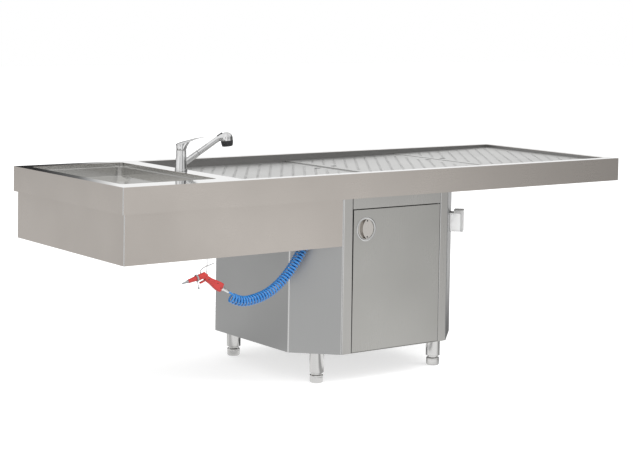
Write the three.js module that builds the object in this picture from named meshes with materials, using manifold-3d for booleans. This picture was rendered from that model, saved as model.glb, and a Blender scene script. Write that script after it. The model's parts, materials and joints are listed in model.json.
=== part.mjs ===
// A free-standing autopsy table. Millimetres, +Z up, front towards -Y, the sink end towards -X.
// The origin is on the floor under the middle of the worktop.
import * as THREE from "three";
import { mergeVertices } from "three/addons/utils/BufferGeometryUtils.js";
import Module from "manifold-3d";

// Sheet, clearances and the one overrun that every cut uses.
const SHEET = 2;
const PANEL_SHEET = 1.5;
const SEAT = 0.3;
const OVERRUN = 5;
const HEM = 15;

// Worktop.
const TABLE_LENGTH = 2600;
const TABLE_WIDTH = 900;
const TABLE_HEIGHT = 865;
const RIM_HEIGHT = 102;
const RIM_RETURN = 22;
const LEFT_LEDGE = 50;
const SINK_FRONT_LEDGE = 100;
const REAR_LEDGE = 58;
const DECK_WIDTH = 80;
const RIGHT_LIP = 50;
const FRONT_LIP = 45;

// Sink bowl: a stepped recess, a short wall, then a hopper down to the sump.
const SINK_LENGTH = 422;
const SINK_RECESS = 17;
const SINK_SHELF = 12;
const SINK_WALL = 55;
const SINK_DEPTH = 165;
const SINK_CORNER = 14;
const BOWL_CORNER = 32;
const SUMP_WIDTH = 104;
const SUMP_CORNER = 40;

// Three perforated plates, each with its own fall towards the sink. Drops are below the rim.
const FIRST_JOINT = 20;
const SECOND_JOINT = 652;
const PLATE_DROPS = { left: [34, 34], middle: [29, 23.5], right: [21.5, 13.5] };
const PLATE_FLANGE = 14;
const PLATE_GAP = 2;
const HOLE_RADIUS = 7;
const HOLE_SIDES = 6;
const HOLE_PITCH = 60;
const HOLE_ROW = 84;
const PLATE_MARGIN = 46;
const DRY_STRIP = 120;
const FINGER_HOLE_RADIUS = 14;
const FINGER_HOLE_INSET = 44;
const FINGER_HOLE_Y = 85;

// Tray under the plates.
const TRAY_SHELF = 14;
const TRAY_FLOOR_DROP_LEFT = 80;
const TRAY_FLOOR_DROP_RIGHT = 36;
const TRAY_OUTLET_INSET = 58;

// Rails and cross bars that carry the top.
const RAIL_WIDTH = 30;
const RAIL_HEIGHT = 60;
const RAIL_END_GAP = 10;
const BAR_WIDTH = 30;

// Skirt of the sink end.
const SKIRT_HEIGHT = 191;
const SKIRT_INSET = 13;
const SKIRT_HEM = 25;

// Cabinet, eight-sided in plan.
const CABINET_WIDTH = 866;
const CABINET_FRONT = 10;
const CABINET_BACK = 34;
const CABINET_BOTTOM = 130;
const CORNER_LEG = 156;
const LEFT_POST = 48;
const RIGHT_POST = 42;
const POST_RETURN = 25;
const HEADER_HEIGHT = 44;
const HEADER_RETURN = 35;
const FLOOR_SHEET = 3;
const SHELF_DEPTH = 465;
const SHELF_LIP = 22;

// Door.
const DOOR_THICKNESS = 18;
const DOOR_GAP = 2;
const HINGE_SIDE_GAP = 3;
const PIVOT_INSET = 5.5;
const PIVOT_RADIUS = 3;
const PIVOT_LENGTH = 22;
const PIVOT_COLLAR = 7;
const CATCH_SIZE = [44, 15, 14];
const CATCH_INSET = 30;

// Cup handle.
const HANDLE_INSET = 67;
const HANDLE_RADIUS = 50;
const HANDLE_BORE = 41;
const HANDLE_PROUD = 3;
const HANDLE_DEPTH = 230;
const CUP_FACE = 1.5;
const CUP_DEPTH = 14;
const CUP_WALL = 1.5;
const POCKET_OFFSET = 22;

// Legs.
const LEG_INSET = 121;
const LEG_RADIUS = 30;
const LEG_WALL = 2;
const LEG_FLANGE_RADIUS = 40;
const LEG_FLANGE = 3;
const LEG_NUT = 8;
const FOOT_HEIGHT = 42;
const FOOT_RADIUS = 28;
const FOOT_NECK = 22;
const FOOT_ROUND = 5;
const SHANK_RADIUS = 10;
const SHANK_LENGTH = 62;

// Drains.
const PIPE_RADIUS = 20;
const PIPE_BORE = 17.5;
const WASTE_FLANGE_RADIUS = 40;
const WASTE_FLANGE = 2.5;
const WASTE_THROAT = 30;
const WASTE_TAIL = 60;
const STRAINER_RIM = 36;
const STRAINER_CUP = 26;
const STRAINER_DEPTH = 16;
const STRAINER_WALL = 1.5;
const KNOB_RADIUS = 5;
const KNOB_HEIGHT = 14;
const DRAIN_DEPTH = 261;
const DRAIN_FALL = 8;
const BEND_RADIUS = 32;
const TEE_HEIGHT = 30;
const OUTLET_FLANGE_RADIUS = 34;
const OUTLET_TAIL = 40;
const TRAP_INSET = 193;
const TRAP_RADIUS = 36;
const TRAP_HEIGHT = 110;
const TRAP_NECK = 24;
const TRAP_OUT_DROP = 40;
const BACK_STUB = 24;
const PIPE_HOLE_GAP = 4;

// Mixer tap.
const TAP_Y = -20;
const TAP_RADIUS = 24;
const TAP_BASE_HEIGHT = 7;
const TAP_BASE_LIP = 1.5;
const TAP_BODY_HEIGHT = 76;
const TAP_TAPER = 2;
const TAP_SHOULDER = 3;
const TAP_SHANK_RADIUS = 15;
const TAP_SHANK_LENGTH = 50;
const TAP_NUT_RADIUS = 24;
const TAP_NUT_HEIGHT = 10;
const SPOUT_TURN = -15;
const SPOUT_RISE = 34;
const SPOUT_HEIGHT = 15;
const SPOUT_RADIUS = 12.7;
const SPOUT_STUB = 84;
const SPOUT_BORE = 8.5;
const SPOUT_BORE_START = 34;
const TAIL_RADIUS = 7;
const HUB_RADIUS = 13;
const HUB_HEIGHT = 12;
const CAP_HEIGHT = 24;
const CAP_WALL = 3;
const CAP_GAP = 0.6;
const LEVER_LENGTH = 98;
const LEVER_RISE = 22;
const LEVER_WIDTH = 20;
const LEVER_THICKNESS = 4;
const LEVER_SWEEP = 75;
const LEVER_TAPER_SHARE = 0.6;
const LEVER_SHARES = [0, 0.2, 0.4, 0.6, 0.8, 1];
const HANDSET_LENGTH = 142;
const HANDSET_RADIUS = 12;
const HANDSET_END_RADIUS = 11;
const HEAD_RADIUS = 18;
const HEAD_LENGTH = 30;
const HEAD_TILT = 14;
const FACE_RADIUS = 14.5;
const FACE_THICKNESS = 4;
const SUPPLY_RADIUS = 5;
const SUPPLY_SPREAD = 9;
const SUPPLY_DEPTH = 197;
const SUPPLY_END = 60;

// Hook and water gun. The hook's line is chosen by hand, from the bottom of its stem.
const GUN_PLANE = 20;
const HOOK_PLANE = 34;
const HOOK_WIRE = 2;
const HOOK_X = -912;
const HOOK_DROP = 67;
const HOOK_LINE = [
  [0, 0, HOOK_DROP],
  [0, 0, 25],
  [-1, 0, 10],
  [-8, 0, 0],
  [-21, 0, 0],
  [-29, 0, 10],
  [-27, -2, 25],
  [-12, -5, 35],
  [2, -6, 39],
  [28, -6, 46],
];
const GUN_REACH = 17;
const GUN_RISE = 5.3;
const BARREL_LENGTH = 78;
const BARREL_DROP = 13.6;
const BARREL_RADIUS = 12.5;
const BARREL_END_RADIUS = 7.5;
const NOZZLE_LENGTH = 26;
const NOZZLE_RADIUS = 5;
const NOZZLE_TIP_RADIUS = 2.5;
const NOZZLE_BORE = 1.2;
const GUN_HEAD_LENGTH = 40;
const GUN_HEAD_TOP = 4;
const GUN_HEAD_FOOT = -14;
const GUN_THICKNESS = 19;
const HANDLE_DROP = 31;
const GRIP_START = -10;
const GRIP_LENGTH = 89;
const GRIP_WIDTH = 28;
const GRIP_CORNER = 7;
const LUG_WIDTH = 8;
const LUG_DEPTH = 9;
const LUG_DROP = 7;
const LUG_THICKNESS = 1.6;
const TRIGGER_LENGTH = 27;
const TRIGGER_THICKNESS = 6;
const TRIGGER_WIDTH = 10;
const TRIGGER_SLOPE = 20;
const TRIGGER_PIVOT = [1, -17];
const FLOW_RING_PLACE = 38;
const FLOW_RING_WIDTH = 6;
const FLOW_RING_WALL = 2;
const FLOW_LEVER_LENGTH = 30;
const FLOW_LEVER_RADIUS = 1.5;
const FLOW_BALL_RADIUS = 4;
const CONNECTOR_LENGTH = 36;
const CONNECTOR_RADIUS = 6;
const CONNECTOR_TIP_RADIUS = 5;
const CONNECTOR_NUT_RADIUS = 8;
const CONNECTOR_NUT = 10;

// Coiled hose. Its middle line is chosen by hand: x, the way back from the worktop's front edge and
// the drop below the worktop.
const HOSE_RADIUS = 4;
const COIL_RADIUS = 17.2;
const COIL_PITCH = 13.6;
const COIL_STEPS = 8;
const HOSE_SIDES = 5;
const COIL_LINE = [
  [-806, 24, 453],
  [-782, 24, 465],
  [-740, 26, 474],
  [-680, 30, 468],
  [-626, 38, 455],
  [-575, 46, 431],
  [-524, 53, 393],
  [-486, 58, 354],
  [-463, 62, 327],
  [-440, 66, 299],
  [-424, 70, 273],
];
const HOSE_END_STEPS = 5;
const HOSE_END_PULL = 42;
const ELBOW_RADIUS = 9;
const ELBOW_REACH = 49;
const ELBOW_DROP = 20;
const ELBOW_DEPTH = 201;
const ELBOW_ALONG = 134;
const ELBOW_NUT_RADIUS = 14;
const ELBOW_NUT = 6;

// Socket on the front right corner face.
const SOCKET_ALONG = 172;
const SOCKET_WIDTH = 75;
const SOCKET_HEIGHT = 94;
const SOCKET_DEPTH = 45;
const SOCKET_TOP_DEPTH = 195;
const SOCKET_CORNER = 8;
const SOCKET_WELL_RADIUS = 22;
const SOCKET_WELL_DEPTH = 20;
const INSERT_FLOOR = 5;
const PIN_HOLE_RADIUS = 2.6;
const PIN_HOLE_SPREAD = 9.5;
const LID_THICKNESS = 11;
const LID_TOP = 12;
const LID_WALL = 3;

// Places that follow from the values above.
const HALF_LENGTH = TABLE_LENGTH / 2;
const HALF_WIDTH = TABLE_WIDTH / 2;
const RIM_BOTTOM = TABLE_HEIGHT - RIM_HEIGHT;
const LEDGE_UNDER = TABLE_HEIGHT - SHEET;
const SINK_LEFT = -HALF_LENGTH + LEFT_LEDGE;
const SINK_RIGHT = SINK_LEFT + SINK_LENGTH;
const SINK_FRONT = -HALF_WIDTH + SINK_FRONT_LEDGE;
const OPENING_REAR = HALF_WIDTH - REAR_LEDGE;
const SINK_X = (SINK_LEFT + SINK_RIGHT) / 2;
const SINK_Y = (SINK_FRONT + OPENING_REAR) / 2;
const TRAY_LEFT = SINK_RIGHT + DECK_WIDTH;
const TRAY_RIGHT = HALF_LENGTH - RIGHT_LIP;
const TRAY_FRONT = -HALF_WIDTH + FRONT_LIP;
const HALF_CABINET = CABINET_WIDTH / 2;
const CABINET_Y_FRONT = -HALF_WIDTH + CABINET_FRONT;
const CABINET_Y_BACK = HALF_WIDTH - CABINET_BACK;
const CABINET_TOP = RIM_BOTTOM - SEAT;
const HEADER_BOTTOM = RIM_BOTTOM - HEADER_HEIGHT;
const SKIRT_BOTTOM = RIM_BOTTOM - SKIRT_HEIGHT;
const FLOOR_TOP = CABINET_BOTTOM + PANEL_SHEET + SEAT + FLOOR_SHEET;
const SHELF_TOP = TABLE_HEIGHT - SHELF_DEPTH;
const FRONT_FACE = HALF_CABINET - CORNER_LEG;
const DOOR_LEFT = -FRONT_FACE + LEFT_POST;
const DOOR_RIGHT = FRONT_FACE - RIGHT_POST;
const DRAIN_TOP = TABLE_HEIGHT - DRAIN_DEPTH;
const TRAP_X = -HALF_CABINET + TRAP_INSET;
const SUPPLY_TURN = TABLE_HEIGHT - SUPPLY_DEPTH;
const ELBOW_HEIGHT = TABLE_HEIGHT - ELBOW_DEPTH;
const SOCKET_TOP = TABLE_HEIGHT - SOCKET_TOP_DEPTH;
const HOOK_FOOT = SKIRT_BOTTOM - SEAT - HOOK_DROP;
const GUN_NECK = [HOOK_X - GUN_REACH, HOOK_FOOT + GUN_RISE];

const DEGREE = Math.PI / 180;
const ROUND_SIDES = 16;
const PIPE_SIDES = 12;
const THIN_SIDES = 8;
const BEND_STEPS = 4;
const HOOK_STEPS = 24;

// Finishes.
const steel = { color: 0xa9a69f, roughness: 0.35, metalness: 1 };
const brightSteel = { color: 0xc9c8c5, roughness: 0.22, metalness: 1 };
const chrome = { color: 0xdedede, roughness: 0.08, metalness: 1 };
const darkPlastic = { color: 0x2b2b2a, roughness: 0.5, metalness: 0 };
const greyPlastic = { color: 0x9a9c9d, roughness: 0.5, metalness: 0 };
const whitePlastic = { color: 0xe9e9e6, roughness: 0.4, metalness: 0 };
const redPlastic = { color: 0xb7302d, roughness: 0.4, metalness: 0 };
const bluePlastic = { color: 0x3477b3, roughness: 0.35, metalness: 0 };
const greyPipe = { color: 0x8e9092, roughness: 0.6, metalness: 0 };
const brass = { color: 0xb9b6ad, roughness: 0.3, metalness: 1 };

const wasm = await Module();
wasm.setup();

// Solids: a closed three.js geometry becomes a manifold, is joined or cut, and comes back.
function solid(geometry) {
  const bare = geometry.clone();
  bare.deleteAttribute("normal");
  bare.deleteAttribute("uv");
  const merged = mergeVertices(bare);
  const mesh = new wasm.Mesh({
    numProp: 3,
    vertProperties: merged.attributes.position.array,
    triVerts: Uint32Array.from(merged.index.array),
  });
  return new wasm.Manifold(mesh);
}

function surface(body) {
  const mesh = body.getMesh();
  const geometry = new THREE.BufferGeometry();
  geometry.setAttribute("position", new THREE.BufferAttribute(Float32Array.from(mesh.vertProperties), 3));
  geometry.setIndex(new THREE.BufferAttribute(Uint32Array.from(mesh.triVerts), 1));
  geometry.computeVertexNormals();
  return geometry;
}

function join(...parts) {
  return parts.map(solid).reduce((whole, part) => whole.add(part));
}

function carve(body, ...tools) {
  return tools.map(solid).reduce((whole, tool) => whole.subtract(tool), body);
}

function cut(geometry, ...tools) {
  return surface(carve(solid(geometry), ...tools));
}

function fuse(...parts) {
  return surface(join(...parts));
}

// Shapes.
function block([x0, x1], [y0, y1], [z0, z1]) {
  return new THREE.BoxGeometry(x1 - x0, y1 - y0, z1 - z0).translate(
    (x0 + x1) / 2,
    (y0 + y1) / 2,
    (z0 + z1) / 2,
  );
}

function cylinder(radius, [z0, z1], sides = ROUND_SIDES, topRadius = radius) {
  const geometry = new THREE.CylinderGeometry(topRadius, radius, z1 - z0, sides);
  return geometry.rotateX(Math.PI / 2).translate(0, 0, (z0 + z1) / 2);
}

// A turned solid about Z. The profile of [radius, height] pairs is closed along the axis or on itself.
function turned(profile, sides = ROUND_SIDES) {
  const open = profile[0][0] === 0 && profile[profile.length - 1][0] === 0;
  const points = profile.map(([radius, height]) => new THREE.Vector2(radius, height));
  if (!open) {
    points.push(points[0].clone());
  }
  if (THREE.ShapeUtils.area(points) < 0) {
    points.reverse();
  }
  return new THREE.LatheGeometry(points, sides).rotateX(Math.PI / 2);
}

function outline(points) {
  return new THREE.Shape(points.map(([x, y]) => new THREE.Vector2(x, y)));
}

// A plan outline raised from z0 to z1.
function prism(points, [z0, z1]) {
  const settings = { depth: z1 - z0, bevelEnabled: false };
  return new THREE.ExtrudeGeometry(outline(points), settings).translate(0, 0, z0);
}

// A side outline in X and Z, drawn out from y0 to y1.
function sideProfile(points, [y0, y1]) {
  const settings = { depth: y1 - y0, bevelEnabled: false };
  const geometry = new THREE.ExtrudeGeometry(outline(points), settings);
  return geometry.rotateX(Math.PI / 2).translate(0, y1, 0);
}

// A rectangle in plan with round corners, as points.
function roundedRectangle([x0, x1], [y0, y1], radius, cornerSteps = 3) {
  const corners = [
    [x1 - radius, y1 - radius, 0],
    [x0 + radius, y1 - radius, 1],
    [x0 + radius, y0 + radius, 2],
    [x1 - radius, y0 + radius, 3],
  ];
  return corners.flatMap(([x, y, quarter]) =>
    Array.from({ length: cornerSteps + 1 }, (_, step) => {
      const angle = (quarter + step / cornerSteps) * (Math.PI / 2);
      return [x + radius * Math.cos(angle), y + radius * Math.sin(angle)];
    }),
  );
}

// A closed skin through rings of points, lowest ring first, each ring anticlockwise from above.
function loft(rings) {
  const count = rings[0].length;
  const positions = rings.flat(2);
  const index = [];
  const last = (rings.length - 1) * count;
  for (let ring = 0; ring < rings.length - 1; ring++) {
    for (let side = 0; side < count; side++) {
      const next = (side + 1) % count;
      const low = ring * count;
      const high = low + count;
      index.push(low + side, low + next, high + next);
      index.push(low + side, high + next, high + side);
    }
  }
  for (let side = 1; side < count - 1; side++) {
    index.push(0, side + 1, side);
    index.push(last, last + side, last + side + 1);
  }
  const geometry = new THREE.BufferGeometry();
  geometry.setAttribute("position", new THREE.Float32BufferAttribute(positions, 3));
  geometry.setIndex(index);
  return geometry;
}

function ringAt(points, height) {
  return points.map(([x, y]) => [x, y, height]);
}

// The middle line of a bar or pipe whose straight runs meet in rounded bends.
function bentLine(corners, bend) {
  const points = corners.map((corner) => new THREE.Vector3(...corner));
  const line = [points[0]];
  for (let i = 1; i < points.length - 1; i++) {
    const before = points[i - 1].clone().sub(points[i]).setLength(bend).add(points[i]);
    const after = points[i + 1].clone().sub(points[i]).setLength(bend).add(points[i]);
    line.push(...new THREE.QuadraticBezierCurve3(before, points[i], after).getPoints(BEND_STEPS));
  }
  return [...line, points[points.length - 1]];
}

// One closed tube through the points. Its first corner is carried along, so it doesn't twist.
function tube(points, radius, sides) {
  const side = new THREE.Vector3(0, -1, 0);
  const rings = points.map((point, i) => {
    const before = points[Math.max(i - 1, 0)];
    const after = points[Math.min(i + 1, points.length - 1)];
    const along = after.clone().sub(before).normalize();
    side.addScaledVector(along, -side.dot(along)).normalize();
    const up = new THREE.Vector3().crossVectors(along, side);
    return Array.from({ length: sides }, (_, corner) => {
      const angle = (corner / sides) * 2 * Math.PI;
      const edge = point.clone().addScaledVector(side, radius * Math.cos(angle));
      return edge.addScaledVector(up, radius * Math.sin(angle)).toArray();
    });
  });
  return loft(rings);
}

// The exported group, and nested groups for what stands turned or leaning.
const table = new THREE.Group();
table.name = "autopsy_table";

function addGroup(parent, position, turn = [0, 0, 0]) {
  const group = new THREE.Group();
  group.position.set(...position);
  group.rotation.set(...turn.map((angle) => angle * DEGREE));
  parent.add(group);
  return group;
}

function addPiece(parent, name, geometry, finish) {
  const mesh = new THREE.Mesh(geometry, new THREE.MeshStandardMaterial(finish));
  mesh.name = name;
  parent.add(mesh);
  return mesh;
}

// Plates: where each one starts and ends, and how high its top is at each end.
const PLATES = ["left", "middle", "right"].map((name, place) => {
  const edges = [TRAY_LEFT, FIRST_JOINT, SECOND_JOINT, TRAY_RIGHT];
  const [x0, x1] = [edges[place], edges[place + 1]];
  const [z0, z1] = PLATE_DROPS[name].map((drop) => TABLE_HEIGHT - drop);
  return { name, place, x0, x1, z0, z1 };
});

// Worktop: rim with its return, ledges, divider deck and lips, folded and welded from one sheet.
function worktop() {
  const whole = [[-HALF_LENGTH, HALF_LENGTH], [-HALF_WIDTH, HALF_WIDTH]];
  const inside = whole.map(([low, high]) => [low + SHEET, high - SHEET]);
  const returned = whole.map(([low, high]) => [low + RIM_RETURN, high - RIM_RETURN]);
  const through = [RIM_BOTTOM - OVERRUN, TABLE_HEIGHT + OVERRUN];
  const sinkEdge = roundedRectangle([SINK_LEFT, SINK_RIGHT], [SINK_FRONT, OPENING_REAR], SINK_CORNER);
  return cut(
    block(...whole, [RIM_BOTTOM, TABLE_HEIGHT]),
    block(...inside, [RIM_BOTTOM + SHEET, LEDGE_UNDER]),
    block(...returned, [RIM_BOTTOM - OVERRUN, RIM_BOTTOM + SHEET + OVERRUN]),
    prism(sinkEdge, through),
    block([TRAY_LEFT, TRAY_RIGHT], [TRAY_FRONT, OPENING_REAR], through),
    cylinder(TAP_SHANK_RADIUS + 2 * SEAT, through).translate(tapPlace[0], tapPlace[1], 0),
  );
}

const tapPlace = [(SINK_RIGHT + TRAY_LEFT) / 2, TAP_Y, TABLE_HEIGHT];

// Rings of the bowl's inner face. A wall turns them into the outer face.
function bowlRings(wall) {
  const step = SINK_SHELF - wall;
  const opening = roundedRectangle(
    [SINK_LEFT - wall, SINK_RIGHT + wall],
    [SINK_FRONT - wall, OPENING_REAR + wall],
    SINK_CORNER + wall,
  );
  const bowl = roundedRectangle(
    [SINK_LEFT + step, SINK_RIGHT - step],
    [SINK_FRONT + step, OPENING_REAR - step],
    BOWL_CORNER + wall,
  );
  const half = SUMP_WIDTH / 2 + wall;
  const sump = roundedRectangle(
    [SINK_X - half, SINK_X + half],
    [SINK_Y - half, SINK_Y + half],
    SUMP_CORNER + wall,
  );
  const top = wall > 0 ? LEDGE_UNDER - SEAT : TABLE_HEIGHT + OVERRUN;
  const recess = TABLE_HEIGHT - SINK_RECESS - wall;
  const foot = TABLE_HEIGHT - SINK_WALL - wall / 2;
  const floor = TABLE_HEIGHT - SINK_DEPTH - wall;
  return [
    ringAt(sump, floor),
    ringAt(bowl, foot),
    ringAt(bowl, recess),
    ringAt(opening, recess),
    ringAt(opening, top),
  ];
}

function sinkBowl() {
  const floor = TABLE_HEIGHT - SINK_DEPTH;
  const wasteHole = cylinder(WASTE_THROAT + 2 * SEAT, [floor - SHEET - OVERRUN, floor + OVERRUN]);
  return cut(loft(bowlRings(SHEET)), loft(bowlRings(0)), wasteHole.translate(SINK_X, SINK_Y, 0));
}

// Tray: an upper part with a shelf that follows the plates, and a lower part that falls to the left.
const SHELF_DROP = PLATE_FLANGE + SEAT;
const TRAY_INNER = [TRAY_LEFT + TRAY_SHELF, TRAY_RIGHT - TRAY_SHELF];
const FLOOR_LEFT = TABLE_HEIGHT - TRAY_FLOOR_DROP_LEFT;
const FLOOR_RIGHT = TABLE_HEIGHT - TRAY_FLOOR_DROP_RIGHT;
const outletPlace = [TRAY_LEFT + TRAY_OUTLET_INSET, SINK_Y];

function floorAt(x) {
  const share = (x - TRAY_INNER[0]) / (TRAY_INNER[1] - TRAY_INNER[0]);
  return FLOOR_LEFT + share * (FLOOR_RIGHT - FLOOR_LEFT);
}

function trayOutline(wall, top) {
  const shelf = PLATES.flatMap(({ place, x0, x1, z0, z1 }) => [
    [place === 0 ? x0 - wall : x0 + wall, z0 - SHELF_DROP - wall],
    [x1 + wall, z1 - SHELF_DROP - wall],
  ]);
  return [...shelf, [TRAY_RIGHT + wall, top], [TRAY_LEFT - wall, top]];
}

function trayTrough(wall, top) {
  const [left, right] = [TRAY_INNER[0] - wall, TRAY_INNER[1] + wall];
  return [[left, floorAt(left) - wall], [right, floorAt(right) - wall], [right, top], [left, top]];
}

function bodyTray() {
  const top = LEDGE_UNDER - SEAT;
  const wide = [TRAY_FRONT, OPENING_REAR];
  const narrow = [TRAY_FRONT + TRAY_SHELF, OPENING_REAR - TRAY_SHELF];
  const grown = ([low, high]) => [low - SHEET, high + SHEET];
  const skin = join(
    sideProfile(trayOutline(SHEET, top), grown(wide)),
    sideProfile(trayTrough(SHEET, top), grown(narrow)),
  );
  const outletHole = cylinder(PIPE_RADIUS + 2 * SEAT, [FLOOR_LEFT - SHEET - OVERRUN, TABLE_HEIGHT], PIPE_SIDES);
  return surface(
    carve(
      skin,
      sideProfile(trayOutline(0, TABLE_HEIGHT), wide),
      sideProfile(trayTrough(0, TABLE_HEIGHT - PLATE_DROPS.right[1]), narrow),
      outletHole.translate(...outletPlace, 0),
    ),
  );
}

// One plate in its own frame: x from its left end, z = 0 at its top.
function perforatedPlate(plate) {
  const length = Math.hypot(plate.x1 - plate.x0, plate.z1 - plate.z0);
  const [left, right] = [PLATE_GAP / 2, length - PLATE_GAP / 2];
  const [front, rear] = [TRAY_FRONT + PLATE_GAP, OPENING_REAR - PLATE_GAP];
  const fingers = plateFingerHoles(plate, length);
  const sheet = outline([[left, front], [right, front], [right, rear], [left, rear]]);
  const firstColumn = left + PLATE_MARGIN + (plate.place === 0 ? DRY_STRIP : 0);
  const columns = Math.floor((right - PLATE_MARGIN - firstColumn) / HOLE_PITCH);
  const rows = Math.floor((rear - front - 2 * PLATE_MARGIN) / HOLE_ROW);
  const rowStart = (front + rear - rows * HOLE_ROW) / 2;
  for (let column = 0; column <= columns; column++) {
    const x = firstColumn + column * HOLE_PITCH;
    for (let row = 0; row <= rows; row++) {
      const y = rowStart + row * HOLE_ROW;
      const nearFinger = fingers.some(([fx, fy]) => {
        return Math.hypot(fx - x, fy - y) < FINGER_HOLE_RADIUS + 2 * HOLE_RADIUS;
      });
      if (!nearFinger) {
        sheet.holes.push(hole(x, y, HOLE_RADIUS, HOLE_SIDES));
      }
    }
  }
  fingers.forEach(([x, y]) => sheet.holes.push(hole(x, y, FINGER_HOLE_RADIUS, PIPE_SIDES)));
  const top = new THREE.ExtrudeGeometry(sheet, { depth: SHEET, bevelEnabled: false });
  const flange = cut(
    block([left, right], [front, rear], [-PLATE_FLANGE, -SHEET / 2]),
    block([left + SHEET, right - SHEET], [front + SHEET, rear - SHEET], [-PLATE_FLANGE - OVERRUN, OVERRUN]),
  );
  return fuse(top.translate(0, 0, -SHEET), flange);
}

function hole(x, y, radius, sides) {
  const rim = Array.from({ length: sides }, (_, side) => {
    const angle = -(side / sides) * 2 * Math.PI;
    return new THREE.Vector2(x + radius * Math.cos(angle), y + radius * Math.sin(angle));
  });
  return new THREE.Path(rim);
}

// Finger holes stand on each side of a joint between two plates.
function plateFingerHoles({ place }, length) {
  const ends = [];
  if (place > 0) {
    ends.push([FINGER_HOLE_INSET, FINGER_HOLE_Y]);
  }
  if (place < PLATES_IN_ROW - 1) {
    ends.push([length - FINGER_HOLE_INSET, FINGER_HOLE_Y]);
  }
  return ends;
}

const PLATES_IN_ROW = PLATES.length;

function addPlates() {
  PLATES.forEach((plate) => {
    const fall = Math.atan2(plate.z1 - plate.z0, plate.x1 - plate.x0);
    const place = addGroup(table, [plate.x0, 0, plate.z0], [0, -fall / DEGREE, 0]);
    addPiece(place, "plate_" + plate.name, perforatedPlate(plate), brightSteel);
  });
}

// Rails along the front and rear, and cross bars over the cabinet's side walls.
function squareTube([x0, x1], [y0, y1], [z0, z1], alongX) {
  const wall = SHEET;
  const x = alongX ? [x0 - OVERRUN, x1 + OVERRUN] : [x0 + wall, x1 - wall];
  const y = alongX ? [y0 + wall, y1 - wall] : [y0 - OVERRUN, y1 + OVERRUN];
  return cut(block([x0, x1], [y0, y1], [z0, z1]), block(x, y, [z0 + wall, z1 - wall]));
}

function addSubframe() {
  const base = RIM_BOTTOM + SHEET + SEAT;
  const reach = HALF_LENGTH - SHEET - RAIL_END_GAP;
  const frontRail = TRAY_FRONT - SHEET - PLATE_GAP - RAIL_WIDTH;
  const rearRail = OPENING_REAR + SHEET + PLATE_GAP;
  const height = [base, base + RAIL_HEIGHT];
  const front = squareTube([-reach, reach], [frontRail, frontRail + RAIL_WIDTH], height, true);
  const rear = squareTube([-reach, reach], [rearRail, rearRail + RAIL_WIDTH], height, true);
  addPiece(table, "rail_front", front, steel);
  addPiece(table, "rail_rear", rear, steel);
  const across = [frontRail + RAIL_WIDTH + SEAT, rearRail - SEAT];
  [["left", -HALF_CABINET], ["right", HALF_CABINET - BAR_WIDTH]].forEach(([side, x]) => {
    const top = floorAt(x) - SHEET - SEAT;
    const bar = squareTube([x, x + BAR_WIDTH], across, [base - SHEET, top], false);
    addPiece(table, "cross_bar_" + side, bar, steel);
  });
}

// Skirt: front, left and rear in one folded sheet with a flange at the top and a hem below.
function sinkSkirt() {
  const outer = HALF_WIDTH - SKIRT_INSET;
  const inner = outer - PANEL_SHEET;
  const left = -HALF_LENGTH + SKIRT_INSET;
  const right = -HALF_CABINET + CORNER_LEG;
  const beyond = right + OVERRUN;
  const top = RIM_BOTTOM - SEAT;
  const flange = outer - SKIRT_HEM;
  return cut(
    block([left, right], [-outer, outer], [SKIRT_BOTTOM, top]),
    block([left + PANEL_SHEET, beyond], [-inner, inner], [SKIRT_BOTTOM + PANEL_SHEET, top - PANEL_SHEET]),
    block([left + SKIRT_HEM, beyond], [-flange, flange], [SKIRT_BOTTOM - OVERRUN, top + OVERRUN]),
    prism(cabinetPlan(-SEAT), [SKIRT_BOTTOM - OVERRUN, top + OVERRUN]),
  );
}

// Plan of the cabinet, drawn in by a wall.
function cabinetPlan(wall) {
  const x = HALF_CABINET - wall;
  const [y0, y1] = [CABINET_Y_FRONT + wall, CABINET_Y_BACK - wall];
  const leg = CORNER_LEG - wall * (2 - Math.SQRT2);
  return [
    [-x + leg, y0],
    [x - leg, y0],
    [x, y0 + leg],
    [x, y1 - leg],
    [x - leg, y1],
    [-x + leg, y1],
    [-x, y1 - leg],
    [-x, y0 + leg],
  ];
}

// The drain's height where it passes a given x.
const drainRun = [SINK_X, TRAP_X];
function drainAt(x) {
  return DRAIN_TOP - (DRAIN_FALL * (x - drainRun[0])) / (drainRun[1] - drainRun[0]);
}

const trapTop = DRAIN_TOP - DRAIN_FALL - BEND_RADIUS - PIPE_RADIUS;
const trapOut = trapTop - TRAP_OUT_DROP;

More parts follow.
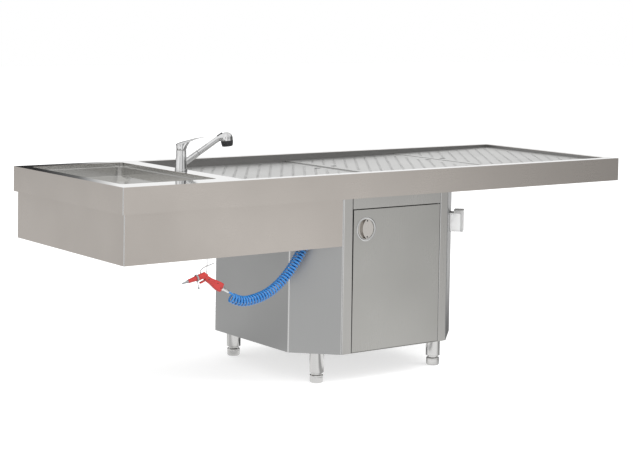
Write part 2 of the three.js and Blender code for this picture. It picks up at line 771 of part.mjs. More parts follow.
function cabinetShell() {
  const height = [CABINET_BOTTOM, CABINET_TOP];
  const wall = PANEL_SHEET;
  const within = [CABINET_BOTTOM + wall, CABINET_TOP - wall];
  const through = [CABINET_BOTTOM - OVERRUN, CABINET_TOP + OVERRUN];
  const aboveSill = [CABINET_BOTTOM + wall, CABINET_TOP + OVERRUN];
  const returns = [CABINET_Y_FRONT, CABINET_Y_FRONT + POST_RETURN];
  const body = carve(
    solid(prism(cabinetPlan(0), height)),
    prism(cabinetPlan(wall), within),
    prism(cabinetPlan(HEM), through),
    block([DOOR_LEFT, DOOR_RIGHT], [CABINET_Y_FRONT - OVERRUN, CABINET_Y_FRONT + HEM + OVERRUN], aboveSill),
  );
  const posts = join(
    block([DOOR_LEFT - wall, DOOR_LEFT], returns, height),
    block([DOOR_RIGHT, DOOR_RIGHT + wall], returns, height),
  );
  const drainHole = PIPE_RADIUS + PIPE_HOLE_GAP;
  const supplyHole = SUPPLY_RADIUS + PIPE_HOLE_GAP;
  const side = [-HALF_CABINET - OVERRUN, -HALF_CABINET + OVERRUN];
  const across = (radius, y, z) => cylinder(radius, side, PIPE_SIDES).rotateY(Math.PI / 2).translate(0, y, z);
  const back = cylinder(drainHole, [CABINET_Y_BACK - OVERRUN, CABINET_Y_BACK + OVERRUN], PIPE_SIDES);
  const pivot = cylinder(PIVOT_RADIUS + SEAT, through, THIN_SIDES);
  const elbow = cylinder(ELBOW_RADIUS / 2 + SEAT, [-OVERRUN, OVERRUN], PIPE_SIDES);
  return surface(
    carve(
      body.add(posts),
      across(drainHole, SINK_Y, drainAt(-HALF_CABINET)),
      ...[-1, 1].map((way) => across(supplyHole, TAP_Y + way * SUPPLY_SPREAD, SUPPLY_TURN)),
      back.rotateX(-Math.PI / 2).translate(TRAP_X, 0, trapOut),
      pivot.translate(pivotX, pivotY, 0),
      elbow.rotateX(Math.PI / 2).rotateZ(-45 * DEGREE).translate(...elbowPlace),
    ),
  );
}

// The bulkhead elbow's place on the front left corner face.
const elbowPlace = [
  -HALF_CABINET + CORNER_LEG - ELBOW_ALONG * Math.SQRT1_2,
  CABINET_Y_FRONT + ELBOW_ALONG * Math.SQRT1_2,
  ELBOW_HEIGHT,
];

// Door edges and pivot.
const doorEdges = [DOOR_LEFT + DOOR_GAP, DOOR_RIGHT - HINGE_SIDE_GAP];
const doorHeights = [CABINET_BOTTOM + PANEL_SHEET + DOOR_GAP, HEADER_BOTTOM - DOOR_GAP];
const doorDepth = [CABINET_Y_FRONT, CABINET_Y_FRONT + DOOR_THICKNESS];
const pivotX = doorEdges[1] - PIVOT_INSET;
const pivotY = CABINET_Y_FRONT + PIVOT_INSET;
const handlePlace = [DOOR_LEFT + HANDLE_INSET, CABINET_Y_FRONT, TABLE_HEIGHT - HANDLE_DEPTH];

function headerPanel() {
  const x = [DOOR_LEFT + SEAT, DOOR_RIGHT - SEAT];
  const height = [HEADER_BOTTOM, RIM_BOTTOM - SEAT];
  const face = block(x, [CABINET_Y_FRONT, CABINET_Y_FRONT + PANEL_SHEET], height);
  const flange = block(
    x,
    [CABINET_Y_FRONT, CABINET_Y_FRONT + HEADER_RETURN],
    [HEADER_BOTTOM, HEADER_BOTTOM + PANEL_SHEET],
  );
  const pinHole = cylinder(PIVOT_RADIUS + SEAT, [HEADER_BOTTOM - OVERRUN, HEADER_BOTTOM + OVERRUN], THIN_SIDES);
  return surface(carve(join(face, flange), pinHole.translate(pivotX, pivotY, 0)));
}

function addCabinet() {
  addPiece(table, "cabinet_shell", cabinetShell(), steel);
  addPiece(table, "header_panel", headerPanel(), steel);
  const pinRoom = PIVOT_COLLAR + PANEL_SHEET;
  const insideWall = cabinetPlan(PANEL_SHEET + SEAT);
  const doorway = [DOOR_LEFT - PANEL_SHEET - SEAT, DOOR_RIGHT + PANEL_SHEET + SEAT];
  const behindDoor = [CABINET_Y_FRONT - OVERRUN, doorDepth[1] + pinRoom];
  const clearDoor = (z) => block(doorway, behindDoor, z);
  const floor = [FLOOR_TOP - FLOOR_SHEET, FLOOR_TOP];
  addPiece(table, "cabinet_floor", cut(prism(insideWall, floor), clearDoor([0, TABLE_HEIGHT])), steel);
  const lipped = cut(
    prism(insideWall, [SHELF_TOP - SHELF_LIP, SHELF_TOP]),
    prism(cabinetPlan(2 * PANEL_SHEET + SEAT), [0, SHELF_TOP - PANEL_SHEET]),
    clearDoor([0, TABLE_HEIGHT]),
  );
  addPiece(table, "cabinet_shelf", lipped, steel);
}

// Door: a folded skin, a liner that closes its back, and two pivot pins with collars.
function doorPanel() {
  const edge = ([low, high]) => [low + PANEL_SHEET, high - PANEL_SHEET];
  const cupHole = cylinder(HANDLE_BORE + SEAT, [-DOOR_THICKNESS, DOOR_THICKNESS], ROUND_SIDES);
  const pinHole = cylinder(PIVOT_RADIUS + SEAT, [0, TABLE_HEIGHT], THIN_SIDES);
  return cut(
    block(doorEdges, doorDepth, doorHeights),
    block(edge(doorEdges), [doorDepth[0] + PANEL_SHEET, doorDepth[1] + OVERRUN], edge(doorHeights)),
    cupHole.rotateX(Math.PI / 2).translate(handlePlace[0], doorDepth[0] - PANEL_SHEET, handlePlace[2]),
    pinHole.translate(pivotX, pivotY, 0),
  );
}

function addDoor() {
  addPiece(table, "door_panel", doorPanel(), steel);
  const inside = ([low, high]) => [low + PANEL_SHEET + SEAT, high - PANEL_SHEET - SEAT];
  const liner = block(inside(doorEdges), [doorDepth[1] - PANEL_SHEET, doorDepth[1]], inside(doorHeights));
  addPiece(table, "door_liner", liner, steel);
  const collar = DOOR_GAP - 2 * SEAT;
  const lower = addGroup(table, [pivotX, pivotY, CABINET_BOTTOM + PANEL_SHEET + SEAT]);
  addPiece(lower, "pivot_lower", pivotPin(collar), brightSteel);
  const upper = addGroup(table, [pivotX, pivotY, HEADER_BOTTOM - SEAT], [180, 0, 0]);
  addPiece(upper, "pivot_upper", pivotPin(collar), brightSteel);
  const [width, depth, height] = CATCH_SIZE;
  const x = doorEdges[0] + CATCH_INSET;
  const behind = doorDepth[1] + SEAT;
  const under = HEADER_BOTTOM - SEAT;
  const notch = [behind - OVERRUN, behind + depth / 3];
  const middle = [under - (2 * height) / 3, under - height / 3];
  const catchBlock = cut(
    block([x, x + width], [behind, behind + depth], [under - height, under]),
    block([x + width / 4, x + (3 * width) / 4], notch, middle),
  );
  addPiece(table, "door_catch", catchBlock, darkPlastic);
}

// A pin with a collar at z = 0, its longer end up into the door and a short one down.
function pivotPin(collar) {
  const low = -PANEL_SHEET - SEAT;
  return turned(
    [
      [0, low],
      [PIVOT_RADIUS, low],
      [PIVOT_RADIUS, 0],
      [PIVOT_COLLAR, 0],
      [PIVOT_COLLAR, collar],
      [PIVOT_RADIUS, collar],
      [PIVOT_RADIUS, PIVOT_LENGTH],
      [0, PIVOT_LENGTH],
    ],
    THIN_SIDES,
  );
}

// Cup handle: a domed bezel round a dish whose left part is a deep pocket.
function addHandle() {
  const place = addGroup(table, handlePlace, [90, 0, 0]);
  const bezel = turned([
    [HANDLE_BORE, SEAT],
    [HANDLE_RADIUS, SEAT],
    [HANDLE_RADIUS, HANDLE_PROUD / 2],
    [HANDLE_RADIUS - HANDLE_PROUD, HANDLE_PROUD],
    [HANDLE_BORE + HANDLE_PROUD, HANDLE_PROUD],
    [HANDLE_BORE, HANDLE_PROUD / 2],
  ]);
  addPiece(place, "handle_ring", bezel, brightSteel);
  const radius = HANDLE_BORE - SEAT;
  const pocketRadius = radius - CUP_WALL;
  const pocket = solid(cylinder(pocketRadius, [-CUP_DEPTH + CUP_WALL, OVERRUN])).subtract(
    solid(cylinder(HANDLE_RADIUS, [-DOOR_THICKNESS, DOOR_THICKNESS]).translate(POCKET_OFFSET, 0, 0)),
  );
  const dish = solid(cylinder(radius, [-CUP_DEPTH, -CUP_FACE])).subtract(pocket);
  addPiece(place, "handle_cup", surface(dish), brightSteel);
}

// Legs: flanged tubes with a nut at the foot, and round feet that screw in and out.
function addLegs() {
  const top = CABINET_BOTTOM + PANEL_SHEET;
  const tube = turned([
    [0, top],
    [LEG_FLANGE_RADIUS, top],
    [LEG_FLANGE_RADIUS, top - LEG_FLANGE],
    [LEG_RADIUS, top - LEG_FLANGE],
    [LEG_RADIUS, FOOT_HEIGHT],
    [SHANK_RADIUS + SEAT, FOOT_HEIGHT],
    [SHANK_RADIUS + SEAT, FOOT_HEIGHT + LEG_NUT],
    [LEG_RADIUS - LEG_WALL, FOOT_HEIGHT + LEG_NUT],
    [LEG_RADIUS - LEG_WALL, top - LEG_FLANGE],
    [0, top - LEG_FLANGE],
  ]);
  const neck = FOOT_HEIGHT - SEAT;
  const foot = turned([
    [0, 0],
    [FOOT_RADIUS - FOOT_ROUND, 0],
    [FOOT_RADIUS, FOOT_ROUND],
    [FOOT_RADIUS - FOOT_ROUND / 5, neck - FOOT_RADIUS + FOOT_NECK - FOOT_ROUND],
    [FOOT_NECK, neck - FOOT_ROUND],
    [FOOT_NECK, neck],
    [SHANK_RADIUS, neck],
    [SHANK_RADIUS, neck + SHANK_LENGTH],
    [0, neck + SHANK_LENGTH],
  ]);
  const places = {
    front_left: [-HALF_CABINET + LEG_INSET, CABINET_Y_FRONT + LEG_INSET],
    front_right: [HALF_CABINET - LEG_INSET, CABINET_Y_FRONT + LEG_INSET],
    rear_left: [-HALF_CABINET + LEG_INSET, CABINET_Y_BACK - LEG_INSET],
    rear_right: [HALF_CABINET - LEG_INSET, CABINET_Y_BACK - LEG_INSET],
  };
  Object.entries(places).forEach(([name, [x, y]]) => {
    const place = addGroup(table, [x, y, 0]);
    addPiece(place, "leg_" + name, tube, brightSteel);
    addPiece(place, "foot_" + name, foot, greyPlastic);
  });
}

// Drains: sink waste with its strainer, the falling drain pipe with a tee, trap and outlet.
function addDrains() {
  const sumpFloor = TABLE_HEIGHT - SINK_DEPTH + SEAT;
  const tailEnd = sumpFloor - WASTE_TAIL;
  const taper = WASTE_THROAT - PIPE_RADIUS;
  const neck = sumpFloor - WASTE_TAIL / 3 - taper;
  const wasteBore = WASTE_THROAT - WASTE_FLANGE;
  const waste = turned([
    [PIPE_BORE, tailEnd],
    [PIPE_RADIUS, tailEnd],
    [PIPE_RADIUS, neck],
    [WASTE_THROAT, neck + taper],
    [WASTE_THROAT, sumpFloor],
    [WASTE_FLANGE_RADIUS, sumpFloor],
    [WASTE_FLANGE_RADIUS, sumpFloor + WASTE_FLANGE],
    [wasteBore, sumpFloor + WASTE_FLANGE],
    [wasteBore, neck + taper],
    [PIPE_BORE, neck],
  ]);
  const sump = addGroup(table, [SINK_X, SINK_Y, 0]);
  addPiece(sump, "sink_waste", waste, brightSteel);
  const rim = sumpFloor + WASTE_FLANGE + SEAT;
  const cupFloor = rim - STRAINER_DEPTH;
  const basket = turned([
    [0, cupFloor],
    [STRAINER_CUP, cupFloor],
    [STRAINER_CUP, rim],
    [STRAINER_RIM, rim],
    [STRAINER_RIM, rim + STRAINER_WALL],
    [STRAINER_CUP - STRAINER_WALL, rim + STRAINER_WALL],
    [STRAINER_CUP - STRAINER_WALL, cupFloor + STRAINER_WALL],
    [KNOB_RADIUS, cupFloor + STRAINER_WALL],
    [KNOB_RADIUS, rim + KNOB_HEIGHT],
    [0, rim + KNOB_HEIGHT],
  ]);
  const drips = Array.from({ length: 8 }, (_, turn) => {
    const drip = cylinder(WASTE_FLANGE, [cupFloor - OVERRUN, cupFloor + OVERRUN], HOLE_SIDES);
    return drip.translate((2 * STRAINER_CUP) / 3, 0, 0).rotateZ((turn / 8) * 2 * Math.PI);
  });
  addPiece(sump, "sink_strainer", cut(basket, ...drips), brightSteel);

  const start = tailEnd - SEAT;
  const route = (over) => {
    return bentLine(
      [
        [SINK_X, SINK_Y, start + over],
        [SINK_X, SINK_Y, drainAt(SINK_X)],
        [TRAP_X, SINK_Y, drainAt(TRAP_X)],
        [TRAP_X, SINK_Y, trapTop - over],
      ],
      BEND_RADIUS,
    );
  };
  const teeFoot = drainAt(outletPlace[0]);
  const teeTop = teeFoot + PIPE_RADIUS + TEE_HEIGHT;
  const tee = (radius, top) => cylinder(radius, [teeFoot, top], PIPE_SIDES).translate(...outletPlace, 0);
  const drain = join(tube(route(0), PIPE_RADIUS, PIPE_SIDES), tee(PIPE_RADIUS, teeTop));
  const bore = tube(route(OVERRUN), PIPE_BORE, PIPE_SIDES);
  addPiece(table, "drain_pipe", surface(carve(drain, bore, tee(PIPE_BORE, teeTop + OVERRUN))), greyPipe);

  const flangeFoot = floorAt(outletPlace[0] + OUTLET_FLANGE_RADIUS) + SEAT;
  const flangeTop = flangeFoot + WASTE_FLANGE;
  const tailFoot = flangeFoot - OUTLET_TAIL;
  const outlet = turned(
    [
      [PIPE_BORE, tailFoot],
      [PIPE_RADIUS, tailFoot],
      [PIPE_RADIUS, flangeFoot],
      [OUTLET_FLANGE_RADIUS, flangeFoot],
      [OUTLET_FLANGE_RADIUS, flangeTop],
      [PIPE_BORE, flangeTop],
    ],
    PIPE_SIDES,
  );
  const down = turned(
    [
      [PIPE_BORE, teeTop + SEAT],
      [PIPE_RADIUS, teeTop + SEAT],
      [PIPE_RADIUS, tailFoot - SEAT],
      [PIPE_BORE, tailFoot - SEAT],
    ],
    PIPE_SIDES,
  );
  const under = addGroup(table, [...outletPlace, 0]);
  addPiece(under, "tray_outlet", outlet, brightSteel);
  addPiece(under, "tray_pipe", down, greyPipe);

  const cupTop = trapTop - SEAT - TRAP_NECK;
  const trap = turned(
    [
      [0, trapTop - SEAT - TRAP_HEIGHT],
      [TRAP_RADIUS, trapTop - SEAT - TRAP_HEIGHT + FOOT_ROUND],
      [TRAP_RADIUS, cupTop],
      [PIPE_RADIUS + PIPE_HOLE_GAP, cupTop + FOOT_ROUND],
      [PIPE_RADIUS + PIPE_HOLE_GAP, trapTop - SEAT],
      [0, trapTop - SEAT],
    ],
    PIPE_SIDES,
  );
  const stubEnd = TRAP_RADIUS + TEE_HEIGHT;
  const stub = cylinder(PIPE_RADIUS, [0, stubEnd], PIPE_SIDES).rotateX(-Math.PI / 2).translate(0, 0, trapOut);
  const place = addGroup(table, [TRAP_X, SINK_Y, 0]);
  addPiece(place, "bottle_trap", fuse(trap, stub), greyPipe);
  const backEnd = CABINET_Y_BACK + BACK_STUB - SINK_Y;
  const outward = turned(
    [
      [PIPE_BORE, stubEnd + SEAT],
      [PIPE_RADIUS, stubEnd + SEAT],
      [PIPE_RADIUS, backEnd],
      [PIPE_BORE, backEnd],
    ],
    PIPE_SIDES,
  );
  addPiece(place, "outlet_pipe", outward.rotateX(-Math.PI / 2).translate(0, 0, trapOut), greyPipe);
}

// Mixer tap: base and shank through the deck, a body that swivels with the spout stub,
// a hub and lever above, and a handset that pulls out of the stub.
function addTap() {
  const deck = addGroup(table, tapPlace);
  const under = -SHEET - TAP_SHANK_LENGTH;
  const base = turned([
    [0, under],
    [TAP_SHANK_RADIUS, under],
    [TAP_SHANK_RADIUS, SEAT],
    [TAP_RADIUS + TAP_BASE_LIP, SEAT],
    [TAP_RADIUS + TAP_BASE_LIP, TAP_BASE_HEIGHT / 2],
    [TAP_RADIUS, TAP_BASE_HEIGHT],
    [0, TAP_BASE_HEIGHT],
  ]);
  addPiece(deck, "tap_base", base, chrome);
  const nutTop = -SHEET - SEAT;
  const nut = cut(
    cylinder(TAP_NUT_RADIUS, [nutTop - TAP_NUT_HEIGHT, nutTop], HOLE_SIDES),
    cylinder(TAP_SHANK_RADIUS + SEAT, [under, OVERRUN]),
  );
  addPiece(deck, "tap_nut", nut, brass);

  const bodyFoot = TAP_BASE_HEIGHT + SEAT;
  const bodyTop = bodyFoot + TAP_BODY_HEIGHT;
  const slim = TAP_RADIUS - TAP_TAPER;
  const waist = (bodyFoot + bodyTop) / 2;
  const swivel = addGroup(deck, [0, 0, 0], [0, 0, SPOUT_TURN]);
  const toSpout = (geometry) => {
    return geometry.rotateY((90 - SPOUT_RISE) * DEGREE).translate(0, 0, bodyFoot + SPOUT_HEIGHT);
  };
  const body = join(
    turned([
      [0, bodyFoot],
      [TAP_RADIUS, bodyFoot],
      [slim, waist],
      [slim, bodyTop - TAP_SHOULDER],
      [slim - TAP_SHOULDER, bodyTop],
      [0, bodyTop],
    ]),
    toSpout(cylinder(SPOUT_RADIUS, [0, SPOUT_STUB])),
  );
  const hubHole = cylinder(HUB_RADIUS + SEAT, [bodyTop - HUB_HEIGHT / 2, bodyTop + OVERRUN]);
  const lowCut = block([-SPOUT_STUB, SPOUT_STUB], [-SPOUT_STUB, SPOUT_STUB], [-SPOUT_STUB, bodyFoot]);
  const stubBore = toSpout(cylinder(SPOUT_BORE, [SPOUT_BORE_START, SPOUT_STUB + OVERRUN], PIPE_SIDES));
  addPiece(swivel, "tap_body", surface(carve(body, hubHole, lowCut, stubBore)), chrome);

  const hubFoot = bodyTop - HUB_HEIGHT / 2 + SEAT;
  const hub = cylinder(HUB_RADIUS, [hubFoot, hubFoot + HUB_HEIGHT]);
  addPiece(swivel, "tap_hub", hub, brass);
  addPiece(swivel, "tap_lever", tapLever(bodyTop + CAP_GAP, hubFoot + HUB_HEIGHT + SEAT), chrome);

  const along = addGroup(swivel, [0, 0, bodyFoot + SPOUT_HEIGHT], [0, 90 - SPOUT_RISE, 0]);
  const start = SPOUT_STUB + 2 * SEAT;
  const end = start + HANDSET_LENGTH;
  const headTurn = (90 + SPOUT_RISE - HEAD_TILT) * DEGREE;
  const toHead = (geometry) => geometry.rotateY(headTurn).translate(0, 0, end - HEAD_RADIUS);
  const head = turned([
    [0, -HEAD_RADIUS],
    [HEAD_RADIUS * Math.SQRT1_2, -HEAD_RADIUS * Math.SQRT1_2],
    [HEAD_RADIUS, 0],
    [HEAD_RADIUS, HEAD_LENGTH - HEAD_RADIUS / 2],
    [HEAD_RADIUS - LEG_WALL, HEAD_LENGTH],
    [0, HEAD_LENGTH],
  ]);
  const faceFoot = HEAD_LENGTH - FACE_THICKNESS / 2;
  const recess = cylinder(FACE_RADIUS + SEAT, [faceFoot - SEAT, HEAD_LENGTH + OVERRUN]);
  const handset = carve(
    join(
      cylinder(HANDSET_RADIUS, [start, end - HEAD_RADIUS], ROUND_SIDES, HANDSET_END_RADIUS),
      cylinder(TAIL_RADIUS, [SPOUT_BORE_START + SEAT, start + OVERRUN], PIPE_SIDES),
      toHead(head),
    ),
    toHead(recess),
  );
  addPiece(along, "tap_handset", surface(handset), chrome);
  const face = cylinder(FACE_RADIUS, [faceFoot, faceFoot + FACE_THICKNESS]);
  addPiece(along, "spray_face", toHead(face), darkPlastic);

  [["hot", 1], ["cold", -1]].forEach(([name, way]) => {
    const route = bentLine(
      [
        [tapPlace[0], TAP_Y + way * SUPPLY_SPREAD, TABLE_HEIGHT + under - SEAT],
        [tapPlace[0], TAP_Y + way * SUPPLY_SPREAD, SUPPLY_TURN],
        [-HALF_CABINET + SUPPLY_END, TAP_Y + way * SUPPLY_SPREAD, SUPPLY_TURN],
      ],
      BEND_RADIUS,
    );
    addPiece(table, "supply_tube_" + name, tube(route, SUPPLY_RADIUS, THIN_SIDES), brass);
  });
}

// A domed cap, hollow over the hub, with a thin paddle that curves up and forwards.
function tapLever(foot, ceiling) {
  const top = foot + CAP_HEIGHT;
  const cap = turned([
    [0, foot],
    [TAP_RADIUS - TAP_TAPER, foot],
    [TAP_RADIUS, foot + CAP_HEIGHT / 2],
    [TAP_RADIUS - CAP_WALL, top - CAP_WALL],
    [0, top],
  ]);
  const room = cylinder(HUB_RADIUS + CAP_WALL, [foot - OVERRUN, ceiling]);
  const ease = (share) => Math.sin(share * LEVER_SWEEP * DEGREE) / Math.sin(LEVER_SWEEP * DEGREE);
  const upper = LEVER_SHARES.map((share) => [
    -TAP_RADIUS / 2 + share * (LEVER_LENGTH + TAP_RADIUS / 2),
    top - CAP_WALL + ease(share) * LEVER_RISE,
  ]);
  const thickness = (share) => LEVER_THICKNESS * (1 - LEVER_TAPER_SHARE * share);
  const lower = upper.map(([x, z], i) => [x, z - thickness(LEVER_SHARES[i])]).reverse();
  const paddle = sideProfile([...lower, ...upper], [-LEVER_WIDTH / 2, LEVER_WIDTH / 2]);
  return surface(join(cap, paddle).subtract(solid(room)));
}

// Hook, water gun and its connector. The gun's frame stands at its neck, x to the right, z up.
const gunY = -HALF_WIDTH + GUN_PLANE;
const hookY = -HALF_WIDTH + HOOK_PLANE;

function addHook() {
  const line = new THREE.CatmullRomCurve3(HOOK_LINE.map((point) => new THREE.Vector3(...point)));
  const wire = tube(line.getSpacedPoints(HOOK_STEPS), HOOK_WIRE, HOLE_SIDES);
  addPiece(table, "spray_hook", wire.translate(HOOK_X, hookY, HOOK_FOOT), chrome);
}

// A cone about the barrel's line, from the neck to the muzzle, grown by a clearance.
function barrelCone(clearance) {
  return cylinder(
    BARREL_RADIUS + clearance,
    [0, BARREL_LENGTH],
    PIPE_SIDES,
    BARREL_END_RADIUS + clearance,
  );
}

function gripBlock(clearance) {
  const half = GRIP_WIDTH / 2 + clearance;
  const plan = roundedRectangle([-clearance, GRIP_LENGTH], [-half, half], GRIP_CORNER, 2);
  const width = GUN_THICKNESS / 2;
  return sideProfile(plan, [-width, width]).rotateY(HANDLE_DROP * DEGREE).translate(0, 0, GRIP_START);
}

// A lug on the gun's back that hangs over the hook's lowest run.
function hangingLug() {
  const [x, z] = [HOOK_X + (HOOK_LINE[3][0] + HOOK_LINE[4][0]) / 2 - GUN_NECK[0], HOOK_FOOT - GUN_NECK[1]];
  const width = [x - LUG_WIDTH / 2, x + LUG_WIDTH / 2];
  const foot = z + HOOK_WIRE + SEAT;
  const back = GUN_THICKNESS / 2;
  const end = back + LUG_DEPTH;
  return [
    block(width, [back - LUG_THICKNESS, end], [foot, foot + LUG_THICKNESS]),
    block(width, [end - LUG_THICKNESS, end], [foot - LUG_DROP, foot + LUG_THICKNESS]),
  ];
}

function addGun() {
  const gun = addGroup(table, [GUN_NECK[0], gunY, GUN_NECK[1]]);
  const toBarrel = (geometry) => geometry.rotateY((-90 - BARREL_DROP) * DEGREE);
  const half = GUN_THICKNESS / 2;
  const length = GUN_HEAD_LENGTH / 2;
  const head = block([-length, length / 2], [-half, half], [GUN_HEAD_FOOT, GUN_HEAD_TOP]);
  const body = join(toBarrel(barrelCone(0)), head, gripBlock(0), ...hangingLug());
  addPiece(gun, "gun_body", surface(body), redPlastic);

  const tip = BARREL_LENGTH + SEAT + NOZZLE_LENGTH;
  const nozzle = turned(
    [
      [NOZZLE_BORE, BARREL_LENGTH + SEAT],
      [NOZZLE_RADIUS, BARREL_LENGTH + SEAT],
      [NOZZLE_TIP_RADIUS, tip],
      [NOZZLE_BORE, tip],
    ],
    THIN_SIDES,
  );
  addPiece(gun, "gun_nozzle", toBarrel(nozzle), greyPlastic);

  const bar = block(
    [-TRIGGER_LENGTH, TRIGGER_THICKNESS],
    [-TRIGGER_WIDTH / 2, TRIGGER_WIDTH / 2],
    [-TRIGGER_THICKNESS, 0],
  );
  bar.rotateY(-TRIGGER_SLOPE * DEGREE).translate(TRIGGER_PIVOT[0], 0, TRIGGER_PIVOT[1]);
  addPiece(gun, "gun_trigger", cut(bar, gripBlock(SEAT)), redPlastic);

  const ring = [FLOW_RING_PLACE - FLOW_RING_WIDTH / 2, FLOW_RING_PLACE + FLOW_RING_WIDTH / 2];
  const ringRadius = BARREL_RADIUS + FLOW_RING_WALL - SEAT;
  const rodEnd = ringRadius + FLOW_LEVER_LENGTH - FLOW_BALL_RADIUS;
  const rod = cylinder(FLOW_LEVER_RADIUS, [ringRadius - FLOW_RING_WALL / 2, rodEnd], THIN_SIDES);
  const ball = new THREE.IcosahedronGeometry(FLOW_BALL_RADIUS, 1).translate(0, 0, rodEnd);
  const toRing = (geometry) => geometry.rotateY(-90 * DEGREE).translate(0, 0, FLOW_RING_PLACE);
  const lever = join(cylinder(ringRadius, ring, PIPE_SIDES), toRing(rod), toRing(ball));
  addPiece(gun, "gun_flow_lever", toBarrel(surface(carve(lever, barrelCone(2 * SEAT)))), greyPlastic);

  const gripEnd = GRIP_LENGTH + SEAT;
  const connector = turned(
    [
      [0, gripEnd],
      [CONNECTOR_NUT_RADIUS, gripEnd],
      [CONNECTOR_NUT_RADIUS, gripEnd + CONNECTOR_NUT],
      [CONNECTOR_RADIUS, gripEnd + CONNECTOR_NUT],
      [CONNECTOR_TIP_RADIUS, gripEnd + CONNECTOR_LENGTH],
      [0, gripEnd + CONNECTOR_LENGTH],
    ],
    THIN_SIDES,
  );
  connector.rotateY((90 + HANDLE_DROP) * DEGREE).translate(0, 0, GRIP_START);
  addPiece(gun, "gun_connector", connector, chrome);
}

// The coiled hose: a straight end at the gun, a helix about its middle line, and a straight end
// that rises into the bulkhead elbow.
const elbowOut = new THREE.Vector3(-Math.SQRT1_2, -Math.SQRT1_2, 0);
const elbowPort = new THREE.Vector3(...elbowPlace).addScaledVector(elbowOut, ELBOW_REACH - ELBOW_RADIUS);

function hermite(from, fromWay, to, toWay, steps) {
  const pull = HOSE_END_PULL / 3;
  const near = from.clone().addScaledVector(fromWay, pull);
  const far = to.clone().addScaledVector(toWay, -pull);
  const curve = new THREE.CubicBezierCurve3(from, near, far, to);
  return Array.from({ length: steps }, (_, step) => curve.getPoint((step + 1) / (steps + 1)));
}

function hoseLine() {
  const spine = new THREE.CatmullRomCurve3(
    COIL_LINE.map(([x, back, drop]) => new THREE.Vector3(x, back - HALF_WIDTH, TABLE_HEIGHT - drop)),
  );
  const turns = Math.round(spine.getLength() / COIL_PITCH);
  const count = turns * COIL_STEPS;
  const side = new THREE.Vector3(0, -1, 0);
  const coil = [];
  for (let step = 0; step <= count; step++) {
    const share = step / count;
    const along = spine.getTangentAt(share);
    const out = side.clone().addScaledVector(along, -side.dot(along)).normalize();
    const up = new THREE.Vector3().crossVectors(along, out);
    const angle = (step / COIL_STEPS) * 2 * Math.PI;
    const point = spine.getPointAt(share);
    point.addScaledVector(out, COIL_RADIUS * Math.cos(angle));
    point.addScaledVector(up, COIL_RADIUS * Math.sin(angle));
    coil.push(point);
  }
  const gripWay = new THREE.Vector3(Math.cos(HANDLE_DROP * DEGREE), 0, -Math.sin(HANDLE_DROP * DEGREE));
  const reach = GRIP_LENGTH + SEAT + CONNECTOR_LENGTH + SEAT;
  const grip = new THREE.Vector3(GUN_NECK[0], gunY, GUN_NECK[1] + GRIP_START);
  const start = grip.addScaledVector(gripWay, reach);
  const straight = start.clone().addScaledVector(gripWay, 2 * HOSE_RADIUS);
  const end = elbowPort.clone().setZ(ELBOW_HEIGHT - ELBOW_DROP - SEAT);
  const rise = new THREE.Vector3(0, 0, 1);
  const beforeEnd = end.clone().addScaledVector(rise, -2 * HOSE_RADIUS);
  const firstWay = coil[1].clone().sub(coil[0]).normalize();
  const lastWay = coil[count].clone().sub(coil[count - 1]).normalize();
  return [
    start,
    straight,
    ...hermite(straight, gripWay, coil[0], firstWay, HOSE_END_STEPS),
    ...coil,
    ...hermite(coil[count], lastWay, beforeEnd, rise, HOSE_END_STEPS),
    beforeEnd,
    end,
  ];
}

// The least gap between turns, measured between points that are more than half a turn apart.
function leastGap(points) {
  let least = Infinity;
  for (let i = 0; i < points.length; i++) {
    for (let j = i + COIL_STEPS / 2; j < points.length; j++) {
      least = Math.min(least, distanceToRun(points[i], points[j - 1], points[j]));
    }
  }
  return least - 2 * HOSE_RADIUS;
}

function distanceToRun(point, from, to) {
  return new THREE.Line3(from, to).closestPointToPoint(point, true, new THREE.Vector3()).distanceTo(point);
}

function addHose() {
  const line = hoseLine();
  const length = line.slice(1).reduce((sum, point, i) => sum + point.distanceTo(line[i]), 0);
  console.log("hose length", length.toFixed(0), "least gap", leastGap(line).toFixed(2), "points", line.length);
  addPiece(table, "coil_hose", tube(line, HOSE_RADIUS, HOSE_SIDES), bluePlastic);
  const wall = addGroup(table, elbowPlace, [90, -45, 0]);
  addPiece(wall, "hose_elbow", hoseElbow(), brightSteel);
}

// The elbow stands out of the corner face along its own z, and its port hangs down.
function hoseElbow() {
  const inside = cylinder(ELBOW_RADIUS / 2, [-PANEL_SHEET - ELBOW_NUT, SEAT + ELBOW_NUT], PIPE_SIDES);
  const nut = cylinder(ELBOW_NUT_RADIUS, [SEAT, SEAT + ELBOW_NUT], HOLE_SIDES);
  const arm = cylinder(ELBOW_RADIUS, [SEAT, ELBOW_REACH], PIPE_SIDES);
  const port = cylinder(ELBOW_RADIUS, [0, ELBOW_DROP], PIPE_SIDES).rotateX(Math.PI / 2);
  return fuse(inside, nut, arm, port.translate(0, 0, ELBOW_REACH - ELBOW_RADIUS));
}

